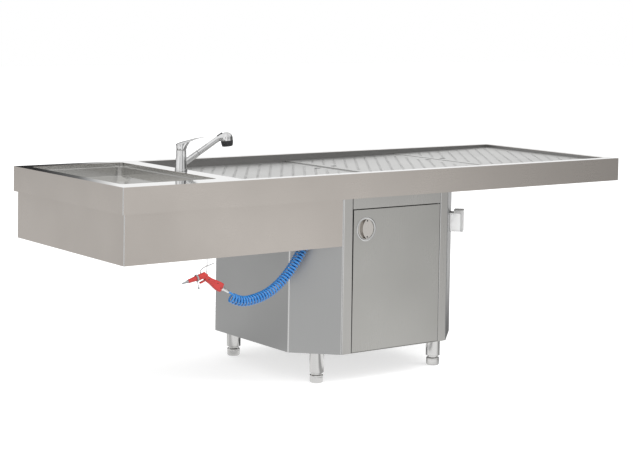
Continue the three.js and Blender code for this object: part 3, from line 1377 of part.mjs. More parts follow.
// Splash-proof socket on the front right corner face, in a frame whose z points out of that face.
function addSocket() {
  const along = SOCKET_ALONG * Math.SQRT1_2;
  const foot = [HALF_CABINET - CORNER_LEG + along, CABINET_Y_FRONT + along, SOCKET_TOP - SOCKET_HEIGHT / 2];
  const face = addGroup(table, foot, [90, 45, 0]);
  const [w, h] = [SOCKET_WIDTH / 2, SOCKET_HEIGHT / 2];
  const boxTop = SEAT + SOCKET_DEPTH;
  const baseTop = h - LID_TOP;
  const box = prism(roundedRectangle([-w, w], [-h, baseTop], SOCKET_CORNER), [SEAT, boxTop]);
  const well = cylinder(SOCKET_WELL_RADIUS, [boxTop - SOCKET_WELL_DEPTH, boxTop + OVERRUN]);
  addPiece(face, "socket_base", cut(box, well.translate(0, -LID_TOP / 2, 0)), whitePlastic);

  const insertFoot = boxTop - SOCKET_WELL_DEPTH + SEAT;
  const insert = cylinder(SOCKET_WELL_RADIUS - SEAT, [insertFoot, insertFoot + INSERT_FLOOR]);
  const pins = [-1, 1].map((way) => {
    const pin = cylinder(PIN_HOLE_RADIUS, [insertFoot - OVERRUN, insertFoot + 2 * INSERT_FLOOR], THIN_SIDES);
    return pin.translate(way * PIN_HOLE_SPREAD, 0, 0);
  });
  addPiece(face, "socket_insert", cut(insert, ...pins).translate(0, -LID_TOP / 2, 0), greyPlastic);

  const lidFoot = SEAT + SOCKET_DEPTH / 3;
  const lidTop = boxTop + SEAT + LID_THICKNESS;
  const lid = cut(
    prism(roundedRectangle([-w, w], [-h, h], SOCKET_CORNER), [lidFoot, lidTop]),
    block([-w - OVERRUN, w + OVERRUN], [-h - OVERRUN, baseTop + SEAT], [lidFoot - OVERRUN, boxTop + SEAT]),
    block([-w + LID_WALL, w - LID_WALL], [-h + LID_WALL, baseTop], [boxTop, lidTop - LID_WALL]),
  );
  addPiece(face, "socket_lid", lid, whitePlastic);
}

addPiece(table, "top_frame", worktop(), steel);
addPiece(table, "sink_bowl", sinkBowl(), brightSteel);
addPiece(table, "body_tray", bodyTray(), steel);
addPlates();
addSubframe();
addPiece(table, "sink_skirt", sinkSkirt(), steel);
addCabinet();
addDoor();
addHandle();
addLegs();
addDrains();
addTap();
addHook();
addGun();
addHose();
addSocket();

export default table;
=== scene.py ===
"""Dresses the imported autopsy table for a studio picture.

Everything is in the frame of the CAD model: +X runs from the sink end to the other end, -Y is the
door side, +Z is up and the floor is z = 0. Lengths are in metres, apart from profiles and rounding
and the sizes of the sub-assemblies that say so, which are in millimetres.
"""

import json
import logging
import math
from collections.abc import Callable
from dataclasses import dataclass
from enum import Enum

import bmesh
import bpy
from mathutils import Matrix, Vector


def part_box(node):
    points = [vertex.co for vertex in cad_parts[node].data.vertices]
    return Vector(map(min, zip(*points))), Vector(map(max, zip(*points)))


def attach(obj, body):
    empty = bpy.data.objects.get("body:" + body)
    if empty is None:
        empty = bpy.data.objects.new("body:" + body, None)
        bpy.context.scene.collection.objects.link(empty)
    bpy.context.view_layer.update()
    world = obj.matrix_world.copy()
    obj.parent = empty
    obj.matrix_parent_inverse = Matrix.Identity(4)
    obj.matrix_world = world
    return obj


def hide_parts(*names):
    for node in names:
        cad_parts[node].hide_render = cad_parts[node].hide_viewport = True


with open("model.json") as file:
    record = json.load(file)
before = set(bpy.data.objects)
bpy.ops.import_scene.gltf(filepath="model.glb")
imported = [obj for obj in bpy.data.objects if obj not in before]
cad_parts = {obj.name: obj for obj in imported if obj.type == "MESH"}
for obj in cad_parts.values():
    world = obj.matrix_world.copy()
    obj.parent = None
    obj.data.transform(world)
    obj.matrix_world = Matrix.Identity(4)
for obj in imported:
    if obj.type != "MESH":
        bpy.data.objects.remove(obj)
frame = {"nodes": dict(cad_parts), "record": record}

log = logging.getLogger("autopsy_table")
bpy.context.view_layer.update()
MM = 0.001
EVEN = (1, 1, 1)
NOISE_LOW, NOISE_HIGH = 0.3, 0.7
UPWARD, LEVEL, PAINTED_FRONT_FACING = 0.9, 0.1, 0.98
FOLD_LOW, FOLD_HIGH = 4, 41
Piece = bpy.types.Object
Finish = bpy.types.Material
Socket = bpy.types.NodeSocket
Face = bpy.types.MeshPolygon
Point = tuple[float, float, float]
Profile = list[tuple[float, float]]
Levels = tuple[tuple[float, float], ...]
BODY_OF = {
    node: body
    for body, nodes in frame["record"]["behaviour"]["bodies"].items()
    for node in nodes
}


def mm(*lengths: float) -> tuple[float, ...]:
    """Returns lengths given in millimetres, in metres."""
    return tuple(length * MM for length in lengths)


def at(*place: float) -> Matrix:
    """Returns a move to a place given in millimetres."""
    return Matrix.Translation(mm(*place))


def spin(degrees: float, axis: str) -> Matrix:
    """Returns a turn about an axis."""
    return Matrix.Rotation(math.radians(degrees), 4, axis)


def shade(colour: Point, share: float) -> Point:
    """Returns a linear colour, lighter or darker by a share."""
    return tuple(min(channel * share, 1.0) for channel in colour)


class Grain(Enum):
    """The direction in which a steel sheet was ground."""

    ALONG_X = (1.5, 90.0, 90.0)
    ALONG_Y = (90.0, 1.5, 90.0)
    ALONG_Z = (90.0, 90.0, 1.5)
    NONE = (60.0, 60.0, 60.0)


class Way(Enum):
    """How one shape is combined with another."""

    CUT = "DIFFERENCE"
    JOIN = "UNION"


class NodeSheet:
    """A node tree with a place to read, ready for patterns."""

    def __init__(self, tree: bpy.types.NodeTree) -> None:
        """Starts on a tree."""
        self.tree = tree
        self.place = self.add("TexCoord")

    def feed(self, node: bpy.types.Node, inputs: dict[str | int, object]) -> None:
        """Gives a node's inputs values, or joins them to outputs.

        Args:
            node: The node.
            inputs: What each input gets, by its name or number.
        """
        for name, value in inputs.items():
            if isinstance(value, Socket):
                self.tree.links.new(value, node.inputs[name])
            else:
                node.inputs[name].default_value = value

    def add(
        self, kind: str, inputs: dict[str | int, object] | None = None, **settings: object
    ) -> bpy.types.NodeOutputs:
        """Adds a node.

        Args:
            kind: The node's type.
            inputs: What each input gets, by its name or number.
            **settings: The node's own settings.

        Returns:
            The node's outputs.
        """
        node = self.tree.nodes.new("ShaderNode" + kind)
        for name, value in settings.items():
            setattr(node, name, value)
        self.feed(node, inputs or {})
        return node.outputs

    def mix(self, share: Socket, first: Socket, second: Socket) -> Socket:
        """Returns a mix of two shaders."""
        return self.add("MixShader", {0: share, 1: first, 2: second})["Shader"]

    def ramp(self, factor: Socket, stops: list[tuple[float, Point]]) -> Socket:
        """Looks a factor up in a row of colours.

        Args:
            factor: The factor.
            stops: The place and colour of each stop.

        Returns:
            The colour.
        """
        node = self.tree.nodes.new("ShaderNodeValToRGB")
        marks = node.color_ramp.elements
        while len(marks) < len(stops):
            marks.new(0.5)
        for mark, (place, colour) in zip(marks, stops):
            mark.position = place
            mark.color = (*colour, 1)
        self.feed(node, {"Fac": factor})
        return node.outputs["Color"]


class Sheet(NodeSheet):
    """A material's node tree with its shader."""

    def __init__(self, name: str, **sockets: float) -> None:
        """Starts a material.

        Args:
            name: The material's name.
            **sockets: Values on the shader, whose names have underscores for spaces.
        """
        self.material = bpy.data.materials.new(name)
        self.material.use_nodes = True
        super().__init__(self.material.node_tree)
        self.shader = self.tree.nodes["Principled BSDF"]
        self.feed(self.shader, {key.replace("_", " "): value for key, value in sockets.items()})

    def noise(self, scale: Point, size: float, detail: float = 3.0, rough: float = 0.5) -> Socket:
        """Adds a noise pattern on the piece's own place.

        Args:
            scale: The pattern's stretch on each axis.
            size: The noise scale.
            detail: How many octaves it has.
            rough: How strong the fine octaves are.

        Returns:
            The noise factor.
        """
        moved = self.add("Mapping", {"Scale": scale, "Vector": self.place["Object"]})
        inputs = {"Vector": moved["Vector"], "Scale": size, "Detail": detail, "Roughness": rough}
        return self.add("TexNoise", inputs)["Fac"]

    def spread(self, factor: Socket, low: float, high: float) -> Socket:
        """Maps the middle of a pattern to a range of values.

        Args:
            factor: The pattern.
            low: The value at its low side.
            high: The value at its high side.

        Returns:
            The mapped value.
        """
        inputs = {"From Min": NOISE_LOW, "From Max": NOISE_HIGH, "To Min": low, "To Max": high}
        return self.add("MapRange", {"Value": factor, **inputs})["Result"]

    def polish(self, pattern: Socket, low: float, high: float) -> None:
        """Runs the roughness between two values with a pattern."""
        self.feed(self.shader, {"Roughness": self.spread(pattern, low, high)})

    def tint(self, pattern: Socket, colour: Point, dark: float, light: float) -> None:
        """Runs the base colour between two shades of a colour with a pattern."""
        stops = [(NOISE_LOW, shade(colour, dark)), (NOISE_HIGH, shade(colour, light))]
        self.feed(self.shader, {"Base Color": self.ramp(pattern, stops)})

    def bump(self, height: Socket, strength: float, depth: float) -> None:
        """Raises the surface with a pattern, by a strength and a depth in metres."""
        raised = self.add("Bump", {"Height": height, "Strength": strength, "Distance": depth})
        self.feed(self.shader, {"Normal": raised["Normal"]})


@dataclass(frozen=True)
class GroundSteel:
    """Stainless sheet with a long ground grain and faint cloudy handling marks."""

    name: str
    colour: Point
    grain: Grain
    roughness: float = 0.3
    depth: float = 0.00004

    def make(self) -> Finish:
        """Makes the material, with its grain in roughness, colour and bump.

        Returns:
            The material.
        """
        sheet = Sheet(self.name, Metallic=1.0)
        grain = sheet.noise(self.grain.value, 9.0, 5.0, 0.65)
        marks = sheet.spread(sheet.noise(EVEN, 4.0), 0.9 * self.roughness, 1.1 * self.roughness)
        both = sheet.add("Math", {0: sheet.spread(grain, -0.03, 0.03), 1: marks}, operation="ADD")
        sheet.feed(sheet.shader, {"Roughness": both["Value"]})
        sheet.tint(grain, self.colour, 0.98, 1.02)
        sheet.bump(grain, 0.25, self.depth)
        return sheet.material


@dataclass(frozen=True)
class Plating:
    """Polished plating with a breath of smudges."""

    name: str
    colour: Point = (0.80, 0.80, 0.80)
    roughness: float = 0.07

    def make(self) -> Finish:
        """Makes the material, with smudges in its roughness.

        Returns:
            The material.
        """
        sheet = Sheet(self.name, Metallic=1.0)
        smudge = sheet.noise(EVEN, 60.0, 3.0, 0.6)
        sheet.polish(smudge, self.roughness * 0.7, self.roughness * 1.6)
        sheet.tint(smudge, self.colour, 0.97, 1.02)
        return sheet.material


@dataclass(frozen=True)
class Moulding:
    """Moulded plastic with a fine spark-eroded skin."""

    name: str
    colour: Point
    roughness: float = 0.4
    grain: float = 900.0
    depth: float = 0.00006
    coat: float = 0.0

    def make(self) -> Finish:
        """Makes the material, with a fine grain and a slight change of colour.

        Returns:
            The material.
        """
        sheet = Sheet(self.name, Coat_Weight=self.coat, Coat_Roughness=0.12)
        skin = sheet.noise(EVEN, self.grain, 2.0)
        sheet.tint(sheet.noise(EVEN, 35.0), self.colour, 0.92, 1.06)
        sheet.polish(skin, self.roughness - 0.06, self.roughness + 0.06)
        sheet.bump(skin, 0.3, self.depth)
        return sheet.material


@dataclass(frozen=True)
class HoseSkin:
    """Smooth coloured polyurethane with faint cloudy changes of colour."""

    name: str
    colour: Point

    def make(self) -> Finish:
        """Makes the material, with a soft gloss and faint cloudiness.

        Returns:
            The material.
        """
        sheet = Sheet(self.name, Coat_Weight=0.6, Coat_Roughness=0.08, IOR=1.5)
        clouds = sheet.noise(EVEN, 120.0, 3.0, 0.55)
        sheet.tint(clouds, self.colour, 0.86, 1.1)
        sheet.polish(clouds, 0.22, 0.34)
        return sheet.material


@dataclass(frozen=True)
class Braid:
    """A flexible supply tube under a fine metal braid."""

    name: str
    colour: Point = (0.55, 0.55, 0.54)

    def make(self) -> Finish:
        """Makes the material, with crossing strands as bump.

        Returns:
            The material.
        """
        sheet = Sheet(self.name, Metallic=1.0)
        waves = []
        for lean in (0.6, -0.6):
            leaned = {"Rotation": (lean, 0.7, lean), "Vector": sheet.place["Object"]}
            vector = sheet.add("Mapping", leaned)["Vector"]
            wave = sheet.add("TexWave", {"Scale": 160.0, "Distortion": 1.0, "Vector": vector})
            waves.append(wave["Fac"])
        strands = sheet.add("Math", {0: waves[0], 1: waves[1]}, operation="MAXIMUM")["Value"]
        sheet.tint(strands, self.colour, 0.45, 1.0)
        sheet.polish(strands, 0.5, 0.28)
        sheet.bump(strands, 0.6, 0.0004)
        return sheet.material


class Finishes:
    """Every finish of the table, made once."""

    def __init__(self) -> None:
        """Makes the materials."""
        x, y, z, even = Grain.ALONG_X, Grain.ALONG_Y, Grain.ALONG_Z, Grain.NONE
        warm = (0.56, 0.52, 0.482)
        gloss = (0.34, 500.0, 0.00004, 0.2)
        self.top = GroundSteel("steel_worktop", warm, x, 0.30).make()
        self.skirt = GroundSteel("steel_skirt", warm, x, 0.32).make()
        self.cabinet = GroundSteel("steel_cabinet", (0.41, 0.412, 0.41), z, 0.33).make()
        # Painted light: the front finish is the cabinet's steel made lighter, for the shell's
        # front-facing faces and the header.
        self.front = GroundSteel("steel_front_painted_lighter", (0.475, 0.468, 0.45), z, 0.3).make()
        self.door = GroundSteel("steel_door", (0.45, 0.445, 0.425), z, 0.31).make()
        # The ledge finish is a real polish plus a painted highlight: the top's own steel, given a
        # much lighter colour for its up-facing faces.
        self.ledge = GroundSteel("steel_ledge_polish_and_painted_sheen", (0.76, 0.76, 0.75), x, 0.05).make()
        self.dish = GroundSteel("steel_dish", (0.56, 0.535, 0.505), even, 0.24).make()
        self.bowl = GroundSteel("steel_bowl", (0.66, 0.655, 0.64), even, 0.16, 0.00001).make()
        self.plate = GroundSteel("steel_plate", (0.62, 0.62, 0.61), y, 0.34).make()
        self.tray = GroundSteel("steel_tray", (0.34, 0.335, 0.33), x, 0.3).make()
        self.frame = GroundSteel("steel_frame", (0.36, 0.355, 0.35), x, 0.38).make()
        # The bright finish is the real polish of the waste, drains, bezel and elbow, and also a
        # painted highlight on the rounded folds of the sheets.
        self.bright = GroundSteel("steel_bright_polish_and_painted_highlight", (0.63, 0.63, 0.625), even, 0.2).make()
        self.leg = GroundSteel("steel_leg", (0.66, 0.655, 0.645), z, 0.12).make()
        self.chrome = Plating("chrome").make()
        self.brass = Plating("plated_brass", (0.62, 0.57, 0.48), 0.18).make()
        self.foot = Plating("foot_chrome", (0.66, 0.655, 0.645), 0.12).make()
        self.black = Moulding("black_rubber", (0.018, 0.018, 0.019), 0.5).make()
        self.dark = Moulding("dark_plastic", (0.04, 0.04, 0.042), 0.45).make()
        self.grey = Moulding("grey_plastic", (0.30, 0.31, 0.32), 0.42).make()
        self.pipe = Moulding("pipe_plastic", (0.27, 0.28, 0.29), 0.5, 300.0).make()
        self.white = Moulding("socket_plastic", (0.96, 0.96, 0.955), *gloss).make()
        self.cover = Moulding("cover_plastic", (0.60, 0.60, 0.595), *gloss).make()
        self.red = Moulding("gun_plastic", (0.52, 0.032, 0.028), 0.33, 600.0, 0.00005, 0.3).make()
        self.hose = HoseSkin("hose_skin", (0.035, 0.24, 0.62)).make()
        self.braid = Braid("braided_tube").make()


class Hand:
    """Shapes meshes with Blender's own operators, one object at a time."""

    @staticmethod
    def only(piece: Piece) -> Piece:
        """Selects one object and makes it active.

        Args:
            piece: The object.

        Returns:
            The same object.
        """
        bpy.ops.object.select_all(action="DESELECT")
        piece.select_set(True)
        bpy.context.view_layer.objects.active = piece
        return piece

    @staticmethod
    def named(name: str) -> Piece:
        """Names the new active object, and puts its place into its mesh.

        Args:
            name: The piece's name.

        Returns:
            The object.
        """
        piece = bpy.context.view_layer.objects.active
        piece.name = name
        piece.data.name = name
        bpy.ops.object.transform_apply(location=True, rotation=True, scale=True)
        return piece

    @staticmethod
    def edit() -> None:
        """Goes into edit mode with everything selected."""
        bpy.ops.object.mode_set(mode="EDIT")
        bpy.ops.mesh.select_all(action="SELECT")

    @staticmethod
    def close(join: float = 0.0) -> None:
        """Joins near points, turns the faces outwards and leaves edit mode.

        Args:
            join: How near in metres, or 0 for none.
        """
        bpy.ops.mesh.select_all(action="SELECT")
        if join:
            bpy.ops.mesh.remove_doubles(threshold=join)
        bpy.ops.mesh.normals_make_consistent(inside=False)
        bpy.ops.object.mode_set(mode="OBJECT")

    @classmethod
    def modify(cls, piece: Piece, kind: str, **settings: object) -> Piece:
        """Applies a modifier to a piece.

        Args:
            piece: The piece.
            kind: The modifier's type.
            **settings: Its settings.

        Returns:
            The piece.
        """
        cls.only(piece)
        change = piece.modifiers.new(kind.lower(), kind)
        for name, value in settings.items():
            setattr(change, name, value)
        bpy.ops.object.modifier_apply(modifier=change.name)
        return piece

    @classmethod
    def box(cls, name: str, low: Point, high: Point) -> Piece:
        """Adds a block between two corners.

        Args:
            name: The piece's name.
            low: The lowest corner, in metres.
            high: The highest corner.

        Returns:
            The block.
        """
        bpy.ops.object.select_all(action="DESELECT")
        middle = (Vector(low) + Vector(high)) / 2
        bpy.ops.mesh.primitive_cube_add(size=1, location=middle)
        bpy.context.object.scale = Vector(high) - Vector(low)
        return cls.named(name)

    @classmethod
    def turned(cls, name: str, profile: Profile, sides: int, hollow: bool = False) -> Piece:
        """Draws a circle up through a profile, as on a lathe.

        Args:
            name: The piece's name.
            profile: Radius and height of each ring, in millimetres.
            sides: The number of sides.
            hollow: Whether the profile closes on itself and leaves the middle open.

        Returns:
            The turned piece, about the Z axis.
        """
        return cls.lofted(name, [(0, r, r, z) for r, z in profile], sides, hollow)

    @classmethod
    def rod(cls, name: str, radius: float, low: float, high: float, sides: int) -> Piece:
        """Returns a plain turned bar about Z between two heights, in millimetres."""
        return cls.turned(name, [(radius, low), (radius, high)], sides)

    @classmethod
    def lofted(
        cls,
        name: str,
        rings: list[tuple[float, float, float, float]],
        sides: int,
        hollow: bool = False,
    ) -> Piece:
        """Draws an oval up through rings that change its size and shift it along X.

        Args:
            name: The piece's name.
            rings: Shift along X, half width in X, half width in Y and height of each ring, in
                millimetres.
            sides: The number of sides. Four make a rectangle.
            hollow: Whether the rings close on themselves and leave the middle open.

        Returns:
            The piece, closed at its ends.
        """
        bpy.ops.object.select_all(action="DESELECT")
        rings = [mm(*ring) for ring in rings]
        shift, wide, deep, height = rings[0]
        square = sides == 4
        bpy.ops.mesh.primitive_circle_add(
            vertices=sides,
            radius=wide * math.sqrt(2) if square else wide,
            fill_type="NOTHING" if hollow else "NGON",
            location=(shift, 0, height),
            rotation=(0, 0, math.pi / 4 if square else 0),
        )
        cls.edit()
        bpy.ops.transform.resize(value=(1, deep / wide, 1), center_override=(shift, 0, height))
        for ring in rings[1:] + (rings[:1] if hollow else []):
            bpy.ops.mesh.extrude_region_move(
                TRANSFORM_OT_translate={"value": (ring[0] - shift, 0, ring[3] - height)}
            )
            bpy.ops.transform.resize(
                value=(ring[1] / wide, ring[2] / deep, 1), center_override=(ring[0], 0, ring[3])
            )
            shift, wide, deep, height = ring
        cls.close(1e-6)
        return cls.named(name)

    @classmethod
    def pick(cls, piece: Piece, wanted: Callable[[bmesh.types.BMFace], bool]) -> None:
        """Goes into edit mode on a piece with only some of its faces selected.

        Args:
            piece: The piece.
            wanted: Tells whether a face is to be selected.
        """
        cls.only(piece)
        bpy.ops.object.mode_set(mode="EDIT")
        bpy.ops.mesh.select_all(action="DESELECT")
        mesh = bmesh.from_edit_mesh(piece.data)
        for face in [face for face in mesh.faces if wanted(face)]:
            face.select_set(True)
        bmesh.update_edit_mesh(piece.data)

    @classmethod
    def flute(cls, piece: Piece, reach: float, count: int, inset: float, depth: float) -> None:
        """Sinks every other outer face of a turned piece, to make grip ribs.

        Args:
            piece: The turned piece, about Z.
            reach: Faces further than this from the axis are outer ones, in millimetres.
            count: The number of ribs, half the number of sides.
            inset: How far in from its edges each face is sunk.
            depth: How deep.
        """

        def outer(face: bmesh.types.BMFace) -> bool:
            """Tells whether a face is to be sunk.

            Args:
                face: The face.

            Returns:
                Whether it is an outer one, and every other one.
            """
            centre = face.calc_center_median()
            turn = math.atan2(centre.y, centre.x) / math.pi * count + 2 * count
            return centre.xy.length > reach * MM and int(turn) % 2 == 0

        cls.pick(piece, outer)
        bpy.ops.mesh.inset(thickness=inset * MM, depth=-depth * MM, use_individual=True)
        bpy.ops.object.mode_set(mode="OBJECT")

    @classmethod
    def screw(cls, name: str, radius: float) -> Piece:
        """Makes a pan head screw with a cross cut in it.

        Args:
            name: The screw's name.
            radius: The head's radius, in millimetres.

        Returns:
            The screw head, facing along Z.
        """
        rings = [(radius, -0.4), (radius, 0.4), (0.8 * radius, 1.0), (0.4 * radius, 1.2)]
        head = cls.smooth(cls.turned(name, rings, 32))
        for wide, deep in ((0.62, 0.12), (0.12, 0.62)):
            x, y = wide * radius, deep * radius
            cls.combine(head, cls.box("slot", mm(-x, -y, 0.5), mm(x, y, 3)))
        return head

    @classmethod
    def wire(cls, name: str, points: list[Point], radius: float, sides: int) -> Piece:
        """Draws a round bar along points, with flat closed ends.

        Args:
            name: The piece's name.
            points: The middle line.
            radius: The bar's radius.
            sides: The number of sides.

        Returns:
            The bar as a mesh.
        """
        cls.only(cls.line(name, points, radius, sides))
        bpy.ops.object.convert(target="MESH")
        piece = bpy.context.object
        cls.edit()
        cls.close(1e-7)
        return cls.smooth(piece, 50)

    @staticmethod
    def line(name: str, points: list[Point], radius: float, sides: int) -> Piece:
        """Adds a curve of one open spline with a round section.

        Args:
            name: The curve's name.
            points: Its points.
            radius: The section's radius.
            sides: The number of sides of the section, a multiple of four.

        Returns:
            The curve.
        """
        curve = bpy.data.curves.new(name, "CURVE")
        curve.dimensions = "3D"
        curve.bevel_depth = radius
        curve.bevel_resolution = sides // 4
        curve.use_fill_caps = True
        curve.twist_mode = "MINIMUM"
        spline = curve.splines.new("POLY")
        spline.points.add(len(points) - 1)
        for spot, point in zip(spline.points, points):
            spot.co = (*point, 1)
        piece = bpy.data.objects.new(name, curve)
        bpy.context.scene.collection.objects.link(piece)
        return piece

    @classmethod
    def place(cls, piece: Piece, matrix: Matrix) -> Piece:
        """Moves a piece and puts the move into its mesh.

        Args:
            piece: The piece.
            matrix: Where its own frame goes.

        Returns:
            The same piece.
        """
        cls.only(piece)
        piece.matrix_world = matrix
        bpy.ops.object.transform_apply(location=True, rotation=True, scale=True)
        return piece

    @classmethod
    def combine(cls, piece: Piece, tool: Piece, way: Way = Way.CUT) -> Piece:
        """Cuts a piece with a tool, or joins the tool to it. The tool is used up.

        Args:
            piece: The piece that stays.
            tool: The other shape.
            way: Cut or join.

        Returns:
            The piece.
        """
        cls.modify(piece, "BOOLEAN", operation=way.value, solver="EXACT", object=tool)
        bpy.data.objects.remove(tool)
        return piece

    @classmethod
    def soften(cls, piece: Piece, width: float, segments: int = 2, angle: float = 35) -> Piece:
        """Rounds a piece's sharp edges.

        Args:
            piece: The piece.
            width: How far the rounding reaches, in millimetres.
            segments: Its number of steps.
            angle: Edges sharper than this many degrees are rounded.

        Returns:
            The piece.
        """
        limit = {"limit_method": "ANGLE", "angle_limit": math.radians(angle)}
        cls.modify(piece, "BEVEL", width=width * MM, segments=segments, **limit)
        return cls.smooth(piece, angle)

    @classmethod
    def fold(cls, piece: Piece, radius: float, tall: float = 60, sharp: float = 20) -> Piece:
        """Rounds the upright outer folds of a sheet, which catch the light as thin lines.

        Args:
            piece: The sheet.
            radius: How far the rounding reaches, in millimetres.
            tall: Shorter edges stay as they are.
            sharp: So do edges that turn by fewer degrees.

        Returns:
            The sheet.
        """
        cls.only(piece)
        bpy.context.tool_settings.mesh_select_mode = (False, True, False)
        bpy.ops.object.mode_set(mode="EDIT")
        bpy.ops.mesh.select_all(action="DESELECT")
        mesh = bmesh.from_edit_mesh(piece.data)
        for edge in mesh.edges:
            length = edge.calc_length()
            if length > tall * MM and edge.is_convex:
                least = 4 * radius * MM * length
                upright = all(abs(face.normal.z) < LEVEL for face in edge.link_faces)
                wide = all(face.calc_area() > least for face in edge.link_faces)
                if upright and wide and edge.calc_face_angle() > math.radians(sharp):
                    edge.select_set(True)
        bmesh.update_edit_mesh(piece.data)
        bpy.ops.mesh.bevel(offset=radius * MM, segments=4)
        bpy.ops.object.mode_set(mode="OBJECT")
        bpy.context.tool_settings.mesh_select_mode = (True, False, False)
        return piece

    @classmethod
    def smooth(cls, piece: Piece, angle: float = 30) -> Piece:
        """Shades a piece smooth.

        Args:
            piece: The piece.
            angle: Edges sharper than this many degrees stay sharp.

        Returns:
            The same piece.
        """
        cls.only(piece)
        bpy.ops.object.shade_smooth_by_angle(angle=math.radians(angle))
        return piece

    @classmethod
    def copied(cls, node: str, name: str) -> Piece:
        """Copies a CAD node's mesh as a clean one with joined corners and whole faces.

        Args:
            node: The CAD node.
            name: The new piece's name.

        Returns:
            The copy.
        """
        piece = bpy.data.objects.new(name, frame["nodes"][node].data.copy())
        bpy.context.scene.collection.objects.link(piece)
        cls.only(piece)
        cls.edit()
        bpy.ops.mesh.remove_doubles(threshold=1e-5)
        bpy.ops.mesh.dissolve_limited(angle_limit=math.radians(0.5))
        cls.close()
        return piece


def finished(piece: Piece, finish: Finish, *nodes: str, beside: str = "") -> Piece:
    """Gives a piece its finish and its place among the moving bodies.

    A mesh has its normals weighed by the area of its faces, so that flat faces stay flat.

    Args:
        piece: The piece.
        finish: Its material.
        *nodes: The CAD nodes that it stands for.
        beside: The CAD node that an added piece is fixed to.

    Returns:
        The piece.
    """
    if piece.type == "MESH":
        Hand.modify(piece, "WEIGHTED_NORMAL", keep_sharp=True)
    piece.data.materials.clear()
    piece.data.materials.append(finish)
    host = nodes[0] if nodes else beside
    if nodes:
        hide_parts(*nodes)
    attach(piece, BODY_OF[host])
    log.info("%s on %s", piece.name, BODY_OF[host])
    return piece


def dressed(
    node: str,
    name: str,
    finish: Finish,
    width: float = 0,
    segments: int = 2,
    angle: float = 35,
    fold: float = 0,
) -> Piece:
    """Copies a CAD node, rounds its edges and gives it its finish.

    Args:
        node: The CAD node.
        name: The new piece's name.
        finish: Its material.
        width: How far the rounding reaches, in millimetres, or 0 for none.
        segments: Its number of steps.
        angle: Edges sharper than this many degrees are rounded.
        fold: The radius of upright folds, in millimetres, or 0 for none.

    Returns:
        The piece.
    """
    piece = Hand.copied(node, name)
    if fold:
        Hand.fold(piece, fold)
    if width:
        Hand.soften(piece, width, segments, angle)
    else:
        Hand.smooth(piece, angle)
    return finished(piece, finish, node)


def faced(piece: Piece, finish: Finish, wanted: Callable[[Face], bool]) -> None:
    """Gives some faces of a finished piece another finish.

    Args:
        piece: The piece.
        finish: The other material.
        wanted: Says which faces get it.
    """
    piece.data.materials.append(finish)
    for face in piece.data.polygons:
        if wanted(face):
            face.material_index = len(piece.data.materials) - 1


def in_painted_fold_highlight(face: Face) -> bool:
    """Tells whether a face of an upright sheet lies on a rounded fold, which gets a painted
    highlight.
    """
    turn = math.degrees(math.atan2(face.normal.y, face.normal.x)) % 45
    return abs(face.normal.z) < LEVEL and FOLD_LOW < turn < FOLD_HIGH


def middle(node: str) -> Vector:
    """Returns the middle of a CAD node's box."""
    low, high = (Vector(corner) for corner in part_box(node))
    return (low + high) / 2


def under(node: str) -> Matrix:
    """Returns a move to the place on the floor under a CAD node's middle."""
    return Matrix.Translation((*middle(node).xy, 0))


def span(node: str) -> tuple[float, float]:
    """Returns the lowest and highest point of a CAD node, in millimetres."""
    low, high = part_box(node)
    return low[2] / MM, high[2] / MM


@dataclass
class PhotoCamera:
    """The camera that matches the photograph, from a fit to the table's edges."""

    place: Point = (-4.24468, -5.61426, 1.52855)
    yaw: float = 36.444
    pitch: float = -3.110
    roll: float = 0.929
    focal: float = 1627.886
    picture: tuple[int, int] = (633, 460)
    horizon_row: float = 96.827
    sensor: float = 36.0

    def make(self) -> None:
        """Adds the camera and makes it the scene's own."""
        yaw, pitch, roll = (math.radians(a) for a in (self.yaw, self.pitch, self.roll))
        level = math.cos(pitch)
        ahead = Vector((math.sin(yaw) * level, math.cos(yaw) * level, math.sin(pitch)))
        right = Vector((math.cos(yaw), -math.sin(yaw), 0))
        up = right.cross(ahead)
        across = right * math.cos(roll) + up * math.sin(roll)
        above = up * math.cos(roll) - right * math.sin(roll)
        data = bpy.data.cameras.new("photo_camera")
        camera = bpy.data.objects.new("photo_camera", data)
        bpy.context.scene.collection.objects.link(camera)
        turn = Matrix((across, above, -ahead)).transposed().to_4x4()
        camera.matrix_world = Matrix.Translation(self.place) @ turn
        width, height = self.picture
        data.sensor_fit = "HORIZONTAL"
        data.sensor_width = self.sensor
        data.lens = self.sensor * self.focal / width
        data.shift_y = (self.horizon_row - height / 2) / width
        data.clip_end = 200
        bpy.context.scene.camera = camera


